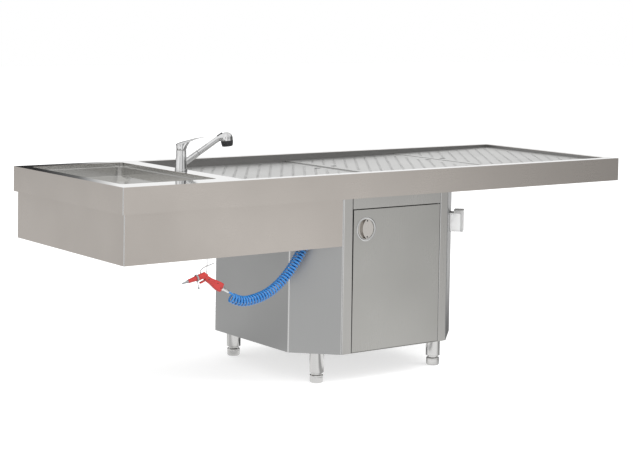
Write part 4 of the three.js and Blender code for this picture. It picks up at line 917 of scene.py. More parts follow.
@dataclass
class Studio:
    """A white floor and background, soft lamps, and what the steel sees around it.

    The level tables run round the compass, in degrees from -Y towards +X.
    """

    floor_size: float = 60.0
    floor_glow: float = 0.58
    lamp_height: float = 4.2
    lamp_aim: Point = (0, 0, 0.5)
    wall_edge: float = 14.0
    sky_edge: float = 35.0
    floor_levels: Levels = (
        (-180, 0.1), (-163, 0.1), (-156, 0.4), (-150, 0.8), (-136, 0.88), (-122, 0.6),
        (-108, 0.6), (-96, 0.95), (-52, 0.95), (-30, 1.0), (-22, 0.45), (-9, 0.45), (-1, 1.0),
        (28, 1.04), (38, 0.92), (44, 0.66), (50, 0.4), (100, 0.2), (115, 0.95), (137, 0.9),
        (150, 0.3), (165, 0.1), (180, 0.1),
    )
    wall_levels: Levels = (
        (-180, 0.1), (-165, 0.15), (-150, 0.5), (-125, 0.9), (-71, 1.0), (-60, 0.5), (-50, 0.6),
        (-36, 1.0), (-25, 0.9), (-13, 0.3), (-3, 0.35), (8, 0.7), (28, 0.6), (45, 0.15),
        (128, 0.08), (133, 1.0), (151.0, 1.0), (152.0, 0.03), (180, 0.1),
    )
    sky_levels: Levels = ((-180, 0.8), (-60, 1.0), (0, 0.7), (60, 0.9), (120, 0.7), (180, 0.8))

    def make(self) -> None:
        """Adds the floor, the world and the lamps."""
        self._floor()
        self._world()
        self._lamps()
        bpy.context.scene.view_settings.view_transform = "Standard"

    @staticmethod
    def _around(sheet: NodeSheet, place: Socket, *tables: Levels) -> list[Socket]:
        """Looks the compass angle of a place or direction up in tables of levels.

        Args:
            sheet: The node tree.
            place: The place or direction.
            *tables: Degrees and level.

        Returns:
            The level in each table, as a grey.
        """
        split = sheet.add("SeparateXYZ", {"Vector": place})
        flip = sheet.add("Math", {0: split["Y"], 1: -1.0}, operation="MULTIPLY")["Value"]
        angle = sheet.add("Math", {0: split["X"], 1: flip}, operation="ARCTAN2")["Value"]
        whole = {"From Min": -math.pi, "From Max": math.pi}
        turn = sheet.add("MapRange", {"Value": angle, **whole})["Result"]
        rows = [[((degrees + 180) / 360, (level,) * 3) for degrees, level in t] for t in tables]
        return [sheet.ramp(turn, stops) for stops in rows]

    def _floor(self) -> None:
        """Adds a pale floor that fades into the background and keeps the shadow."""
        bpy.ops.object.select_all(action="DESELECT")
        bpy.ops.mesh.primitive_plane_add(size=self.floor_size, location=(0, 0, 0))
        floor = bpy.context.object
        floor.name = "floor"
        sheet = Sheet("floor_paper", Roughness=0.9, Specular_IOR_Level=0.0)
        sheet.tint(sheet.noise(EVEN, 3.0, 2.0), EVEN, 0.71, 0.73)
        paper = sheet.shader.outputs["BSDF"]
        glow = sheet.add("Emission", {"Strength": self.floor_glow})["Emission"]
        seen = sheet.add("AddShader", {0: paper, 1: glow})["Shader"]
        grey = self._around(sheet, sheet.place["Object"], self.floor_levels)[0]
        mirrored = sheet.add("Emission", {"Color": grey})["Emission"]
        ray = sheet.add("LightPath")
        plain = sheet.mix(ray["Is Camera Ray"], paper, seen)
        surface = sheet.mix(ray["Is Glossy Ray"], plain, mirrored)
        sheet.feed(sheet.tree.nodes["Material Output"], {"Surface": surface})
        floor.data.materials.append(sheet.material)

    def _world(self) -> None:
        """Makes the background white, and gives the steel a room to mirror."""
        world = bpy.data.worlds.new("studio")
        bpy.context.scene.world = world
        world.use_nodes = True
        world.node_tree.nodes.clear()
        sheet = NodeSheet(world.node_tree)
        place = sheet.place["Generated"]
        wall, sky = self._around(sheet, place, self.wall_levels, self.sky_levels)
        height = sheet.add("SeparateXYZ", {"Vector": place})["Z"]
        low, high = (math.sin(math.radians(edge)) for edge in (self.wall_edge, self.sky_edge))
        rise = sheet.add("MapRange", {"Value": height, "From Min": low, "From Max": high})["Result"]
        blend = sheet.add("Mix", {"Factor": rise, 6: wall, 7: sky}, data_type="RGBA")[2]
        room = sheet.add("Background", {"Color": blend})["Background"]
        white = sheet.add("Background", {"Color": (1, 1, 1, 1)})["Background"]
        ray = sheet.add("LightPath")
        mirrored = sheet.mix(ray["Is Glossy Ray"], white, room)
        rays = {0: ray["Is Camera Ray"], 1: ray["Is Transmission Ray"]}
        seen = sheet.add("Math", rays, operation="MAXIMUM")["Value"]
        sheet.add("OutputWorld", {"Surface": sheet.mix(seen, mirrored, white)})

    def _lamps(self) -> None:
        """Hangs a large soft key lamp and a weaker fill lamp."""
        for name, x, y, power, size in (
            ("key_lamp", -2.2, -3.6, 95.0, 4.4),
            ("fill_lamp", 3.0, -3.0, 100.0, 2.6),
        ):
            data = bpy.data.lights.new(name, "AREA")
            data.shape = "SQUARE"
            data.size = size
            data.energy = power
            lamp = bpy.data.objects.new(name, data)
            lamp.visible_glossy = False
            bpy.context.scene.collection.objects.link(lamp)
            lamp.location = (x, y, self.lamp_height)
            aim = Vector(self.lamp_aim) - lamp.location
            lamp.rotation_euler = aim.to_track_quat("-Z", "Y").to_euler()


@dataclass
class CoiledHose:
    """The blue coiled hose from the gun's connector to the elbow, one unbroken tube."""

    finish: Finish
    tube_radius: float = 4 * MM
    coil_radius: float = 17.2 * MM
    pitch: float = 13.6 * MM
    steps: int = 24
    end_steps: int = 14
    end_pull: float = 42 * MM
    gun_mm: Point = (-929, -430, 500)
    gun_drop: float = 31.0
    gun_reach: float = 125.6 * MM
    port_mm: tuple[float, float] = (-277, -440)
    port_along: float = 134.0
    port_reach: float = 40.0
    port_gap: float = 0.3 * MM
    line_mm: tuple[Point, ...] = (
        (-806, -426, 412), (-782, -426, 400), (-740, -424, 391), (-680, -420, 397),
        (-626, -412, 410), (-575, -404, 434), (-524, -397, 472), (-486, -392, 511),
        (-463, -388, 538), (-440, -384, 566), (-424, -380, 592),
    )

    def make(self) -> None:
        points = self.route()
        length = sum((b - a).length for a, b in zip(points, points[1:]))
        hose = Hand.line("hose", points, self.tube_radius, 12)
        finished(hose, self.finish, "coil_hose")
        tuple(points[-1])
        log.info("hose is %.3f m long", length)

    def route(self) -> list[Vector]:
        """Works out the hose's middle line, from the gun to the elbow.

        Returns:
            The points of the line.
        """
        spine, lengths = self._spine()
        turns = round(lengths[-1] / self.pitch)
        count = turns * self.steps
        coil = []
        for step in range(count + 1):
            point, along = self._on(spine, lengths, step / count)
            side = Vector((0, -1, 0))
            out = (side - along * side.dot(along)).normalized()
            up = along.cross(out)
            angle = 2 * math.pi * step / self.steps
            coil.append(point + self.coil_radius * (out * math.cos(angle) + up * math.sin(angle)))
        drop = math.radians(self.gun_drop)
        away = Vector((math.cos(drop), 0, -math.sin(drop)))
        start = Vector(self.gun_mm) * MM + away * self.gun_reach
        straight = start + away * (2 * self.tube_radius)
        port_low = Vector(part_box("hose_elbow")[0])
        end = Vector((*self._port(), port_low.z - self.port_gap))
        rise = Vector((0, 0, 1))
        before = end - rise * (2 * self.tube_radius)
        first = (coil[1] - coil[0]).normalized()
        last = (coil[-1] - coil[-2]).normalized()
        return [
            start,
            straight,
            *self._lead(straight, away, coil[0], first),
            *coil,
            *self._lead(coil[-1], last, before, rise),
            before,
            end,
        ]

    def _port(self) -> Vector:
        """Works out where the elbow's port is, seen from above.

        Returns:
            Its place on X and Y.
        """
        along, reach, half = self.port_along, self.port_reach, math.sqrt(0.5)
        x, y = self.port_mm
        return Vector((x - (along + reach) * half, y + (along - reach) * half)) * MM

    def _spine(self) -> tuple[list[Vector], list[float]]:
        """Draws the coil's middle line as a centripetal curve through its chosen points.

        Returns:
            Close points on the line, and the length up to each.
        """
        knots = [Vector(p) * MM for p in self.line_mm]
        points = []
        last = len(knots) - 1
        for i in range(last):
            p1, p2 = knots[i], knots[i + 1]
            p0 = knots[i - 1] if i > 0 else 2 * p1 - p2
            p3 = knots[i + 2] if i < last - 1 else 2 * p2 - p1
            steps = [max((b - a).length ** 0.5, 1e-6) for a, b in ((p0, p1), (p1, p2), (p2, p3))]
            d0, d1, d2 = steps
            m1 = ((p1 - p0) / d0 - (p2 - p0) / (d0 + d1) + (p2 - p1) / d1) * d1
            m2 = ((p2 - p1) / d1 - (p3 - p1) / (d1 + d2) + (p3 - p2) / d2) * d1
            for k in range(40):
                t = k / 40
                points.append(
                    p1 * (2 * t**3 - 3 * t**2 + 1)
                    + m1 * (t**3 - 2 * t**2 + t)
                    + p2 * (3 * t**2 - 2 * t**3)
                    + m2 * (t**3 - t**2)
                )
        points.append(knots[-1])
        lengths = [0.0]
        for a, b in zip(points, points[1:]):
            lengths.append(lengths[-1] + (b - a).length)
        return points, lengths

    @staticmethod
    def _on(points: list[Vector], lengths: list[float], share: float) -> tuple[Vector, Vector]:
        """Finds a place on a line.

        Args:
            points: The line's points.
            lengths: The length up to each point.
            share: Where, as a share of the whole length.

        Returns:
            The point and the direction there.
        """
        goal = share * lengths[-1]
        low, high = 0, len(lengths) - 2
        while low < high:
            half = (low + high + 1) // 2
            if lengths[half] <= goal:
                low = half
            else:
                high = half - 1
        part = (goal - lengths[low]) / (lengths[low + 1] - lengths[low])
        ahead = points[min(low + 2, len(points) - 1)] - points[max(low - 1, 0)]
        return points[low].lerp(points[low + 1], part), ahead.normalized()

    def _lead(self, a: Vector, a_way: Vector, b: Vector, b_way: Vector) -> list[Vector]:
        """Bends smoothly between two places and directions.

        Args:
            a: The start.
            a_way: The direction at the start.
            b: The end.
            b_way: The direction at the end.

        Returns:
            The points between them.
        """
        near = a + a_way * (self.end_pull / 3)
        far = b - b_way * (self.end_pull / 3)
        points = []
        for step in range(1, self.end_steps):
            t = step / self.end_steps
            s = 1 - t
            points.append(a * s**3 + near * (3 * s * s * t) + far * (3 * s * t * t) + b * t**3)
        return points


@dataclass
class Worktop:
    """The folded top with its sink, sloping tray, perforated plates and carrying rails."""

    finish: Finishes
    joints: tuple[float, ...] = (-748 * MM, 20 * MM, 652 * MM, 1250 * MM)
    drops: tuple[tuple[float, float], ...] = (
        (34 * MM, 34 * MM),
        (29 * MM, 23.5 * MM),
        (21.5 * MM, 13.5 * MM),
    )
    height: float = 865 * MM
    sheet: float = 2 * MM
    step: float = 60 * MM
    flange: float = 14 * MM
    gap: float = 2 * MM
    front: float = -405 * MM
    rear: float = 392 * MM
    pitch: float = 60 * MM
    row: float = 84 * MM
    hole_radius: float = 7 * MM
    margin: float = 46 * MM
    dry_strip: float = 120 * MM
    drip_radius: float = 1.6 * MM
    finger_radius: float = 14 * MM
    finger_inset: float = 44 * MM
    finger_y: float = 85 * MM

    def make(self) -> None:
        """Builds and dresses every piece of the top."""
        f = self.finish
        ledge = self.height - self.sheet
        low = ledge - self.step
        top = dressed("top_frame", "worktop", f.top, 0.9, 3, fold=3)
        # Painted highlight: the rim's up-facing faces take the lighter, polished ledge finish.
        faced(top, f.ledge, lambda face: face.normal.z > UPWARD and face.center.z > ledge)
        # Painted highlight: the faces on the rounded folds take the lighter bright finish.
        faced(top, f.bright, in_painted_fold_highlight)
        bowl = dressed("sink_bowl", "bowl", f.bowl, 0.8, 3, 20)
        # Painted highlight: the bowl's up-facing ledges and deck take the lighter, polished ledge
        # finish.
        faced(bowl, f.ledge, lambda face: face.normal.z > UPWARD and face.center.z > low)
        dressed("body_tray", "tray", f.tray, 0.8)
        for node in ("rail_front", "rail_rear", "cross_bar_left", "cross_bar_right"):
            dressed(node, node + "_tube", f.frame, 0.9)
        for number, side in enumerate(("left", "middle", "right")):
            finished(self.plate(number, side), f.plate, "plate_" + side)
        self.waste()
        self.tray_drain()

    def plate(self, number: int, side: str) -> Piece:
        """Makes one perforated plate: a pan upside down, pierced, then tilted into place.

        Args:
            number: Its place in the row of plates.
            side: Its name in the row.

        Returns:
            The plate.
        """
        x0, x1 = self.joints[number], self.joints[number + 1]
        z0, z1 = (self.height - drop for drop in self.drops[number])
        length = math.hypot(x1 - x0, z1 - z0)
        left, right = self.gap / 2, length - self.gap / 2
        front, rear = self.front + self.gap, self.rear - self.gap
        plate = Hand.box("plate_%s_sheet" % side, (left, front, -self.flange), (right, rear, 0))
        Hand.pick(plate, lambda face: face.normal.z < -UPWARD)
        bpy.ops.mesh.inset(thickness=self.sheet, depth=0)
        bpy.ops.transform.translate(value=(0, 0, self.flange - self.sheet))
        Hand.close()
        Hand.soften(plate, 0.9, 3)
        fingers = []
        if number > 0:
            fingers.append(self.finger_inset)
        if number < len(self.drops) - 1:
            fingers.append(length - self.finger_inset)
        first = left + self.margin + (self.dry_strip if number == 0 else 0)
        columns = int((right - self.margin - first) / self.pitch)
        rows = int((rear - front - 2 * self.margin) / self.row)
        start = (front + rear - rows * self.row) / 2
        Hand.combine(plate, self.drills(first, start, columns + 1, rows + 1))
        half = (first + self.pitch / 2, start + self.row / 2)
        spare = first + self.pitch * (columns + 0.5) <= right - self.margin
        Hand.combine(plate, self.drills(*half, columns + (1 if spare else 0), rows))
        for x in fingers:
            Hand.combine(plate, self.punch(self.finger_radius, 48, x, self.finger_y))
        tilt = Matrix.Rotation(-math.atan2(z1 - z0, x1 - x0), 4, "Y")
        return Hand.place(Hand.smooth(plate), Matrix.Translation((x0, 0, z0)) @ tilt)

    def punch(self, radius: float, sides: int, x: float, y: float) -> Piece:
        """Makes one punch through a plate.

        Args:
            radius: Its radius.
            sides: Its number of sides.
            x: Its place along the plate.
            y: Its place across the plate.

        Returns:
            The punch.
        """
        deep = self.flange / MM / 2
        punch = Hand.rod("punch", radius / MM, -deep, deep, sides)
        return Hand.place(punch, Matrix.Translation((x, y, 0)))

    def drills(self, x: float, y: float, columns: int, rows: int) -> Piece:
        """Makes a field of punches, one repeated by two arrays.

        Args:
            x: The first column.
            y: The first row.
            columns: The number of columns.
            rows: The number of rows.

        Returns:
            The punches as one object.
        """
        punch = self.punch(self.hole_radius, 14, x, y)
        even = {"use_relative_offset": False, "use_constant_offset": True}
        for count, step in ((columns, (self.pitch, 0, 0)), (rows, (0, self.row, 0))):
            Hand.modify(punch, "ARRAY", count=count, constant_offset_displace=step, **even)
        return punch

    def waste(self) -> None:
        """Turns the sink's waste and its lift-out strainer."""
        f = self.finish
        spot = under("sink_waste")
        low, top = span("sink_waste")
        floor = top - 2.5
        outer = [
            (17.5, low), (20, low), (20, floor - 30), (30, floor - 20), (30, floor), (39, floor),
            (40, floor + 0.8), (39.2, floor + 2.0), (36.5, floor + 2.5), (28.4, floor + 2.5),
            (27.5, floor + 1.6), (27.5, floor - 20), (17.5, floor - 30),
        ]
        ring = Hand.smooth(Hand.turned("waste_flange", outer, 72, hollow=True))
        finished(Hand.place(ring, spot), f.bright, "sink_waste")
        foot, top = span("sink_strainer")
        rim = foot + 16
        inner = [
            (26, foot), (26, rim), (35.4, rim), (36, rim + 0.5), (35.6, rim + 1.3),
            (34.4, rim + 1.5), (25.2, rim + 1.5), (24.5, rim + 0.8), (24.5, foot + 1.5),
            (6, foot + 1.5), (4, foot + 3), (4, rim + 5), (5, rim + 8), (5, top - 1), (4, top),
        ]
        basket = Hand.turned("strainer_basket", inner, 72)
        for count, reach in ((16, 20.5), (8, 13.0)):
            for step in range(count):
                drip = Hand.rod("drip", self.drip_radius / MM, foot - 3, foot + 3, 10)
                Hand.place(drip, spin(360 * step / count, "Z") @ at(reach, 0, 0))
                Hand.combine(basket, drip)
        finished(Hand.place(Hand.smooth(basket), spot), f.bright, "sink_strainer")

    def tray_drain(self) -> None:
        """Turns the tray's outlet with a rounded flange."""
        low, top = span("tray_outlet")
        rings = [
            (17.5, low), (20, low), (20, top - 2.5), (33.4, top - 2.5), (34, top - 1.6),
            (32.8, top - 0.4), (31, top), (18.6, top), (17.5, top - 1),
        ]
        flange = Hand.smooth(Hand.turned("tray_drain", rings, 64, hollow=True))
        finished(Hand.place(flange, under("tray_outlet")), self.finish.bright, "tray_outlet")


@dataclass
class Cabinet:
    """The eight-sided cabinet under the top, its skirt, floor, shelf, legs and feet.

    Its sizes are in millimetres.
    """

    finish: Finishes
    leg_radius: float = 30
    leg_bore: float = 10.3
    wall: float = 2
    flange: float = 3

    def make(self) -> None:
        """Builds and dresses the cabinet, the skirt, the legs and the feet."""
        f = self.finish
        skirt = dressed("sink_skirt", "skirt", f.skirt, 0.6, fold=3)
        # Painted highlight: the faces on the rounded folds take the lighter bright finish.
        faced(skirt, f.bright, in_painted_fold_highlight)
        shell = dressed("cabinet_shell", "shell", f.cabinet, 0.6, fold=4)
        # Painted light: the shell's front-facing faces take a lighter copy of its steel.
        faced(shell, f.front, lambda face: face.normal.y < -PAINTED_FRONT_FACING)
        # Painted highlight: the faces on the rounded folds take the lighter bright finish.
        faced(shell, f.bright, in_painted_fold_highlight)
        # The header takes the same painted lighter front finish.
        dressed("header_panel", "header", f.front, 0.6)
        for node in ("cabinet_floor", "cabinet_shelf"):
            dressed(node, node + "_sheet", f.frame, 0.5)
        leg, foot = self.leg(), self.foot()
        for corner in ("front_left", "front_right", "rear_left", "rear_right"):
            spot = under("leg_" + corner)
            for pattern, part, finish in ((leg, "leg_", f.leg), (foot, "foot_", f.foot)):
                Hand.only(pattern)
                bpy.ops.object.duplicate(linked=False)
                piece = bpy.context.object
                piece.name = part + corner + "_turned"
                finished(Hand.place(piece, spot), finish, part + corner)
        bpy.data.objects.remove(leg)
        bpy.data.objects.remove(foot)

    def leg(self) -> Piece:
        """Turns one leg tube with its flange and the ring at its foot.

        Returns:
            The leg about the Z axis.
        """
        low, top = span("leg_front_left")
        r, bore, plate = self.leg_radius, self.leg_bore, top - self.flange
        inner = r - self.wall
        rings = [
            (bore, low), (r - 1.5, low), (r, low + 1.2), (r, top - 4.5), (r + 1.5, plate),
            (39.4, plate), (40, top - 2.2), (40, top), (14, top), (14, plate), (inner, plate),
            (inner, low + 8), (bore, low + 8),
        ]
        return Hand.smooth(Hand.turned("leg", rings, 64, hollow=True))

    def foot(self) -> Piece:
        """Turns one adjustable foot with its grip ring and threaded shank.

        Returns:
            The foot about the Z axis.
        """
        rings = [
            (22, 0), (24.5, 0.6), (26.6, 2.4), (27.6, 5), (28, 8), (28, 24), (27.4, 25.6),
            (27.4, 27), (28, 28.2), (28, 30), (27, 31.8), (24, 33.5), (22, 35), (22, 41.2),
            (21.4, 41.7), (10, 41.7),
        ]
        thread = [(10 - (step % 2) * 0.8, 42.5 + step * 1.25) for step in range(48)]
        return Hand.smooth(Hand.turned("foot", rings + thread + [(9, 103)], 64), 28)


@dataclass
class Door:
    """The door with its liner, pivots, catch and round cup handle.

    Its sizes are in millimetres.
    """

    finish: Finishes
    handle: Point = (-162, -440, 635)
    gap_above: float = 2.2
    gap_left: float = 1.5
    dish_radius: float = 40.7
    pocket_radius: float = 39.2
    land_radius: float = 50
    land_out: float = 34
    screw_radius: float = 3.4
    screw_spots: tuple[tuple[str, Point], ...] = (("low", (8, -33, -1.5)), ("high", (8, 33, -1.5)))

    def make(self) -> None:
        """Builds and dresses the door."""
        f = self.finish
        skin = Hand.copied("door_panel", "door_skin")
        (x0, y0, z0), (x1, y1, z1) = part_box("door_panel")
        above, left = mm(self.gap_above, self.gap_left)
        for low, high in (
            ((x0 - MM, y0 - MM, z1 - above), (x1 + MM, y1 + MM, z1 + MM)),
            ((x0 - MM, y0 - MM, z0 - MM), (x0 + left, y1 + MM, z1 + MM)),
        ):
            Hand.combine(skin, Hand.box("trim", low, high))
        finished(Hand.soften(skin, 0.65, 3), f.door, "door_panel")
        dressed("door_liner", "liner", f.frame, 0.4)
        dressed("door_catch", "catch", f.dark, 1)
        for node in ("pivot_lower", "pivot_upper"):
            dressed(node, node + "_pin", f.frame, 0.3, 2, 50)
        self.cup()

    def cup(self) -> None:
        """Turns the bezel, hollows the dish and sets two screws in it."""
        f = self.finish
        face = at(*self.handle) @ spin(90, "X")
        rings = [
            (41.0, 0.3), (50.0, 0.3), (50.0, 1.1), (49.3, 2.0), (48.0, 2.7), (46.4, 3.0),
            (44.4, 2.9), (42.8, 2.4), (41.6, 1.5), (41.0, 0.8),
        ]
        bezel = Hand.smooth(Hand.turned("handle_bezel", rings, 96, hollow=True))
        finished(Hand.place(bezel, face), f.bright, "handle_ring")
        dish = Hand.rod("handle_dish", self.dish_radius, -14, -1.5, 96)
        pocket = Hand.rod("pocket", self.pocket_radius, -12.5, 5, 96)
        land = Hand.place(Hand.rod("land", self.land_radius, -18, 18, 96), at(self.land_out, 0, 0))
        Hand.combine(dish, Hand.combine(pocket, land))
        Hand.soften(dish, 0.6, 2, 40)
        finished(Hand.place(dish, face), f.dish, "handle_cup")
        for side, spot in self.screw_spots:
            screw = Hand.screw("handle_screw_" + side, self.screw_radius)
            finished(Hand.place(screw, face @ at(*spot)), f.dark, beside="handle_cup")


@dataclass
class Drains:
    """The drain pipes, the trap and the tap's supply tubes under the top.

    Its sizes are in millimetres.
    """

    finish: Finishes
    trap_y: float = 21
    trap_drop: float = 22
    tee_drop: float = 16
    pipe_bore: float = 20.3
    trap_bore: float = 24.3

    def make(self) -> None:
        """Dresses the pipes and adds the union nuts."""
        f = self.finish
        for node in ("drain_pipe", "tray_pipe", "outlet_pipe", "bottle_trap"):
            dressed(node, node + "_moulded", f.pipe, angle=40)
        for node in ("supply_tube_hot", "supply_tube_cold"):
            dressed(node, node + "_braided", f.braid, angle=60)
        trap, tee, waste = (middle(n) / MM for n in ("bottle_trap", "tray_pipe", "sink_waste"))
        trap_z = span("bottle_trap")[1] - self.trap_drop
        tee_z = span("tray_pipe")[0] - self.tee_drop
        waste_z, pipe = span("sink_waste")[0], self.pipe_bore
        for name, x, y, z, bore, outer, height, host in (
            ("trap_nut", trap.x, self.trap_y, trap_z, self.trap_bore, 31, 15, "bottle_trap"),
            ("tee_nut", *tee.xy, tee_z, pipe, 27, 15, "drain_pipe"),
            ("waste_nut", *waste.xy, waste_z, pipe, 28, 16, "sink_waste"),
        ):
            nut = self.union_nut(name, bore, outer, height)
            finished(Hand.place(nut, at(x, y, z)), f.pipe, beside=host)

    @staticmethod
    def union_nut(name: str, bore: float, outer: float, height: float) -> Piece:
        """Turns a ribbed union nut.

        Args:
            name: The nut's name.
            bore: Its inner radius, in millimetres.
            outer: Its outer radius.
            height: Its height.

        Returns:
            The nut about the Z axis, on the floor.
        """
        rings = [
            (bore, 0), (outer - 2, 0), (outer, 2), (outer, height - 3), (outer - 3, height),
            (bore, height),
        ]
        nut = Hand.turned(name, rings, 48, hollow=True)
        Hand.flute(nut, outer - 0.6, 24, 0.3, 0.8)
        return Hand.smooth(nut, 25)


@dataclass
class MixerTap:
    """The single lever mixer with its swivelling body and pull-out handset.

    Its sizes are in millimetres and degrees.
    """

    finish: Finishes
    spot: Point = (-788, -20, 865)
    turn: float = -15.0
    rise: float = 34.0
    body_foot: float = 7.3
    body_top: float = 83.3
    spout_height: float = 22.3
    stub: float = 84.0
    cap_slope: float = 16.0
    head_middle: float = 219.0
    head_tilt: float = 6.7
    hub_radius: float = 13.0
    hub_foot: float = 77.6
    hub_top: float = 89.6
    hose_bore: float = 8.5
    seat_radius: float = 13.3
    cap_bore: float = 16.0
    head_out: float = 18.7
    spray_bore: float = 21.3
    button_half: Point = (13, 4, 1.8)
    button_place: Point = (-11.6, 0, 202)
    button_tilt: float = -88.0

    def make(self) -> None:
        """Builds and dresses the tap."""
        f = self.finish
        deck = at(*self.spot)
        swivel = deck @ spin(self.turn, "Z")
        spout = swivel @ at(0, 0, self.spout_height) @ spin(90 - self.rise, "Y")
        self.base(deck)
        self.body(swivel, spout)
        hub = Hand.rod("cartridge_hub", self.hub_radius, self.hub_foot, self.hub_top, 48)
        finished(Hand.place(Hand.soften(hub, 0.6), swivel), f.brass, "tap_hub")
        finished(Hand.place(self.lever(), swivel), f.chrome, "tap_lever")
        self.handset(spout)
        dressed("tap_nut", "clamping_nut", f.brass, 0.8, 2, 50)

    def base(self, deck: Matrix) -> None:
        """Turns the base ring and the threaded shank under the deck.

        Args:
            deck: The tap's place on the worktop.
        """
        thread = [(15 - (step % 2) * 0.7, -52 + step * 1.25) for step in range(38)]
        profile = thread + [
            (15, -4), (15, 0.3), (25.0, 0.3), (25.5, 0.8), (25.5, 3.2), (25.0, 4.4), (24.3, 5.4),
            (24.0, 7.0),
        ]
        base = Hand.smooth(Hand.turned("tap_foot", profile, 72))
        finished(Hand.place(base, deck), self.finish.chrome, "tap_base")

    def body(self, swivel: Matrix, spout: Matrix) -> None:
        """Turns the body, joins the spout stub to it and adds the dark joint ring.

        Args:
            swivel: The body's frame, with x towards the spout.
            spout: The spout's frame, with z along it.
        """
        low, top, end = self.body_foot, self.body_top, self.stub
        profile = [
            (24.0, low), (24.5, low + 0.7), (24.2, low + 6), (23.4, low + 14), (22.6, low + 26),
            (21.8, low + 42), (21.1, low + 58), (20.8, top - 3), (20.5, top - 1.4),
            (19.8, top - 0.4), (18.8, top),
        ]
        body = Hand.turned("tap_column", profile, 96)
        collar = [(12.7, 0), (12.7, end - 3), (12.2, end - 0.6), (11.6, end)]
        to_spout = swivel.inverted() @ spout
        Hand.combine(body, Hand.place(Hand.turned("stub", collar, 72), to_spout), Way.JOIN)
        bore = Hand.rod("bore", self.hose_bore, 34, end + 5, 48)
        Hand.combine(body, Hand.place(bore, to_spout))
        Hand.combine(body, Hand.rod("seat", self.seat_radius, top - 6, top + 5, 48))
        Hand.combine(body, Hand.box("below", mm(-100, -100, -100), mm(100, 100, low)))
        finished(Hand.place(Hand.smooth(body), swivel), self.finish.chrome, "tap_body")
        rings = [(8.6, end), (12.5, end), (12.5, end + 0.5), (8.6, end + 0.5)]
        ring = Hand.turned("spout_joint", rings, 64, hollow=True)
        finished(Hand.place(ring, spout), self.finish.black, beside="tap_body")

    def lever(self) -> Piece:
        """Makes the flared cap and joins the leaf-shaped paddle to it.

        Returns:
            The lever in the swivel frame.
        """
        foot = self.body_top + 0.6
        rings = [
            (0, 19.6, 19.6, foot), (0, 20.3, 20.3, foot + 0.7), (0.3, 21.2, 20.8, foot + 8),
            (1.4, 22.6, 21.0, foot + 14), (3.1, 24.4, 21.0, foot + 20),
            (6.0, 27.0, 20.5, foot + 28), (9.0, 29.0, 18.0, foot + 42),
        ]
        cap = Hand.lofted("lever_cap", rings, 96)
        Hand.pick(cap, lambda face: True)
        slope = math.radians(self.cap_slope)
        bpy.ops.mesh.bisect(
            plane_co=mm(-21.5, 0, foot + 20.6),
            plane_no=(-math.sin(slope), 0, math.cos(slope)),
            clear_outer=True,
            use_fill=True,
        )
        Hand.close()
        Hand.combine(cap, self.paddle(foot), Way.JOIN)
        Hand.combine(cap, Hand.rod("room", self.cap_bore, foot - 5, self.hub_top + 0.3, 48))
        return Hand.soften(cap, 0.8, 3, 40)

    @staticmethod
    def paddle(foot: float) -> Piece:
        """Draws the paddle from its crowned root over the cap to its thin tip.

        Args:
            foot: The height of the cap's lower edge.

        Returns:
            The paddle in the swivel frame.
        """
        stations = [
            (-21.5, 20.6, 1.0, 8.0), (-20.5, 23.1, 4.0, 18.0), (-18.0, 25.4, 7.0, 27.0),
            (-12.0, 28.1, 10.0, 36.0), (-2.0, 31.3, 12.0, 41.0), (8.0, 34.3, 12.0, 41.0),
            (18.0, 36.9, 11.0, 38.0), (28.0, 39.1, 9.0, 33.0), (40.0, 41.9, 7.0, 28.0),
            (52.0, 45.1, 5.4, 24.5), (64.0, 47.9, 4.4, 22.5), (76.0, 49.9, 3.6, 21.0),
            (86.0, 50.7, 3.0, 19.0), (92.0, 50.7, 2.4, 16.0), (95.5, 50.4, 1.8, 11.5),
            (97.0, 50.1, 1.0, 5.0),
        ]
        rings = [
            (-(foot + top - thick / 2), thick / 2, wide / 2, x) for x, top, thick, wide in stations
        ]
        return Hand.place(Hand.lofted("paddle", rings, 32), spin(90, "Y"))

    def handset(self, spout: Matrix) -> None:
        """Makes the pull-out handset, its head and its spray face with nozzles.

        Args:
            spout: The spout's frame, with z along it.
        """
        f = self.finish
        start = self.stub + 0.6
        rings = [
            (0, 7, 7, 34.3), (0, 7, 7, start - 0.05), (0, 11.4, 11.4, start),
            (0, 12.0, 12.0, start + 0.8), (0, 12.0, 12.0, start + 30), (0, 11.6, 11.6, start + 70),
            (0, 11.4, 11.4, 184), (1.2, 12.6, 12.3, 194), (4.0, 15.5, 14.6, 203),
            (8.5, 18.4, 17.4, 211), (13.5, 19.6, 19.0, 219), (17.0, 17.0, 17.0, 228),
            (18.0, 12.0, 12.0, 235),
        ]
        barrel = Hand.lofted("handset", rings, 72)
        dome = [
            (4, -24.7), (9, -23.3), (14, -20.7), (18, -17.3), (21.3, -13), (23.6, -8), (24.7, -3),
            (25, 2), (25, 8.6), (24.4, 9.4),
        ]
        bend = spin(90 + self.rise - self.head_tilt, "Y")
        to_head = at(self.head_out, 0, self.head_middle) @ bend
        Hand.combine(barrel, Hand.place(Hand.turned("head", dome, 72), to_head), Way.JOIN)
        recess = Hand.rod("recess", self.spray_bore, 4, 20, 72)
        Hand.combine(barrel, Hand.place(recess, to_head))
        finished(Hand.place(Hand.smooth(barrel), spout), f.chrome, "tap_handset")
        finished(Hand.place(self.spray(), spout @ to_head), f.dark, "spray_face")
        half = Vector(mm(*self.button_half))
        slide = Hand.soften(Hand.box("spray_button", -half, half), 1.4, 4)
        lie = at(*self.button_place) @ spin(self.button_tilt, "Y")
        finished(Hand.place(slide, spout @ lie), f.dark, beside="tap_handset")

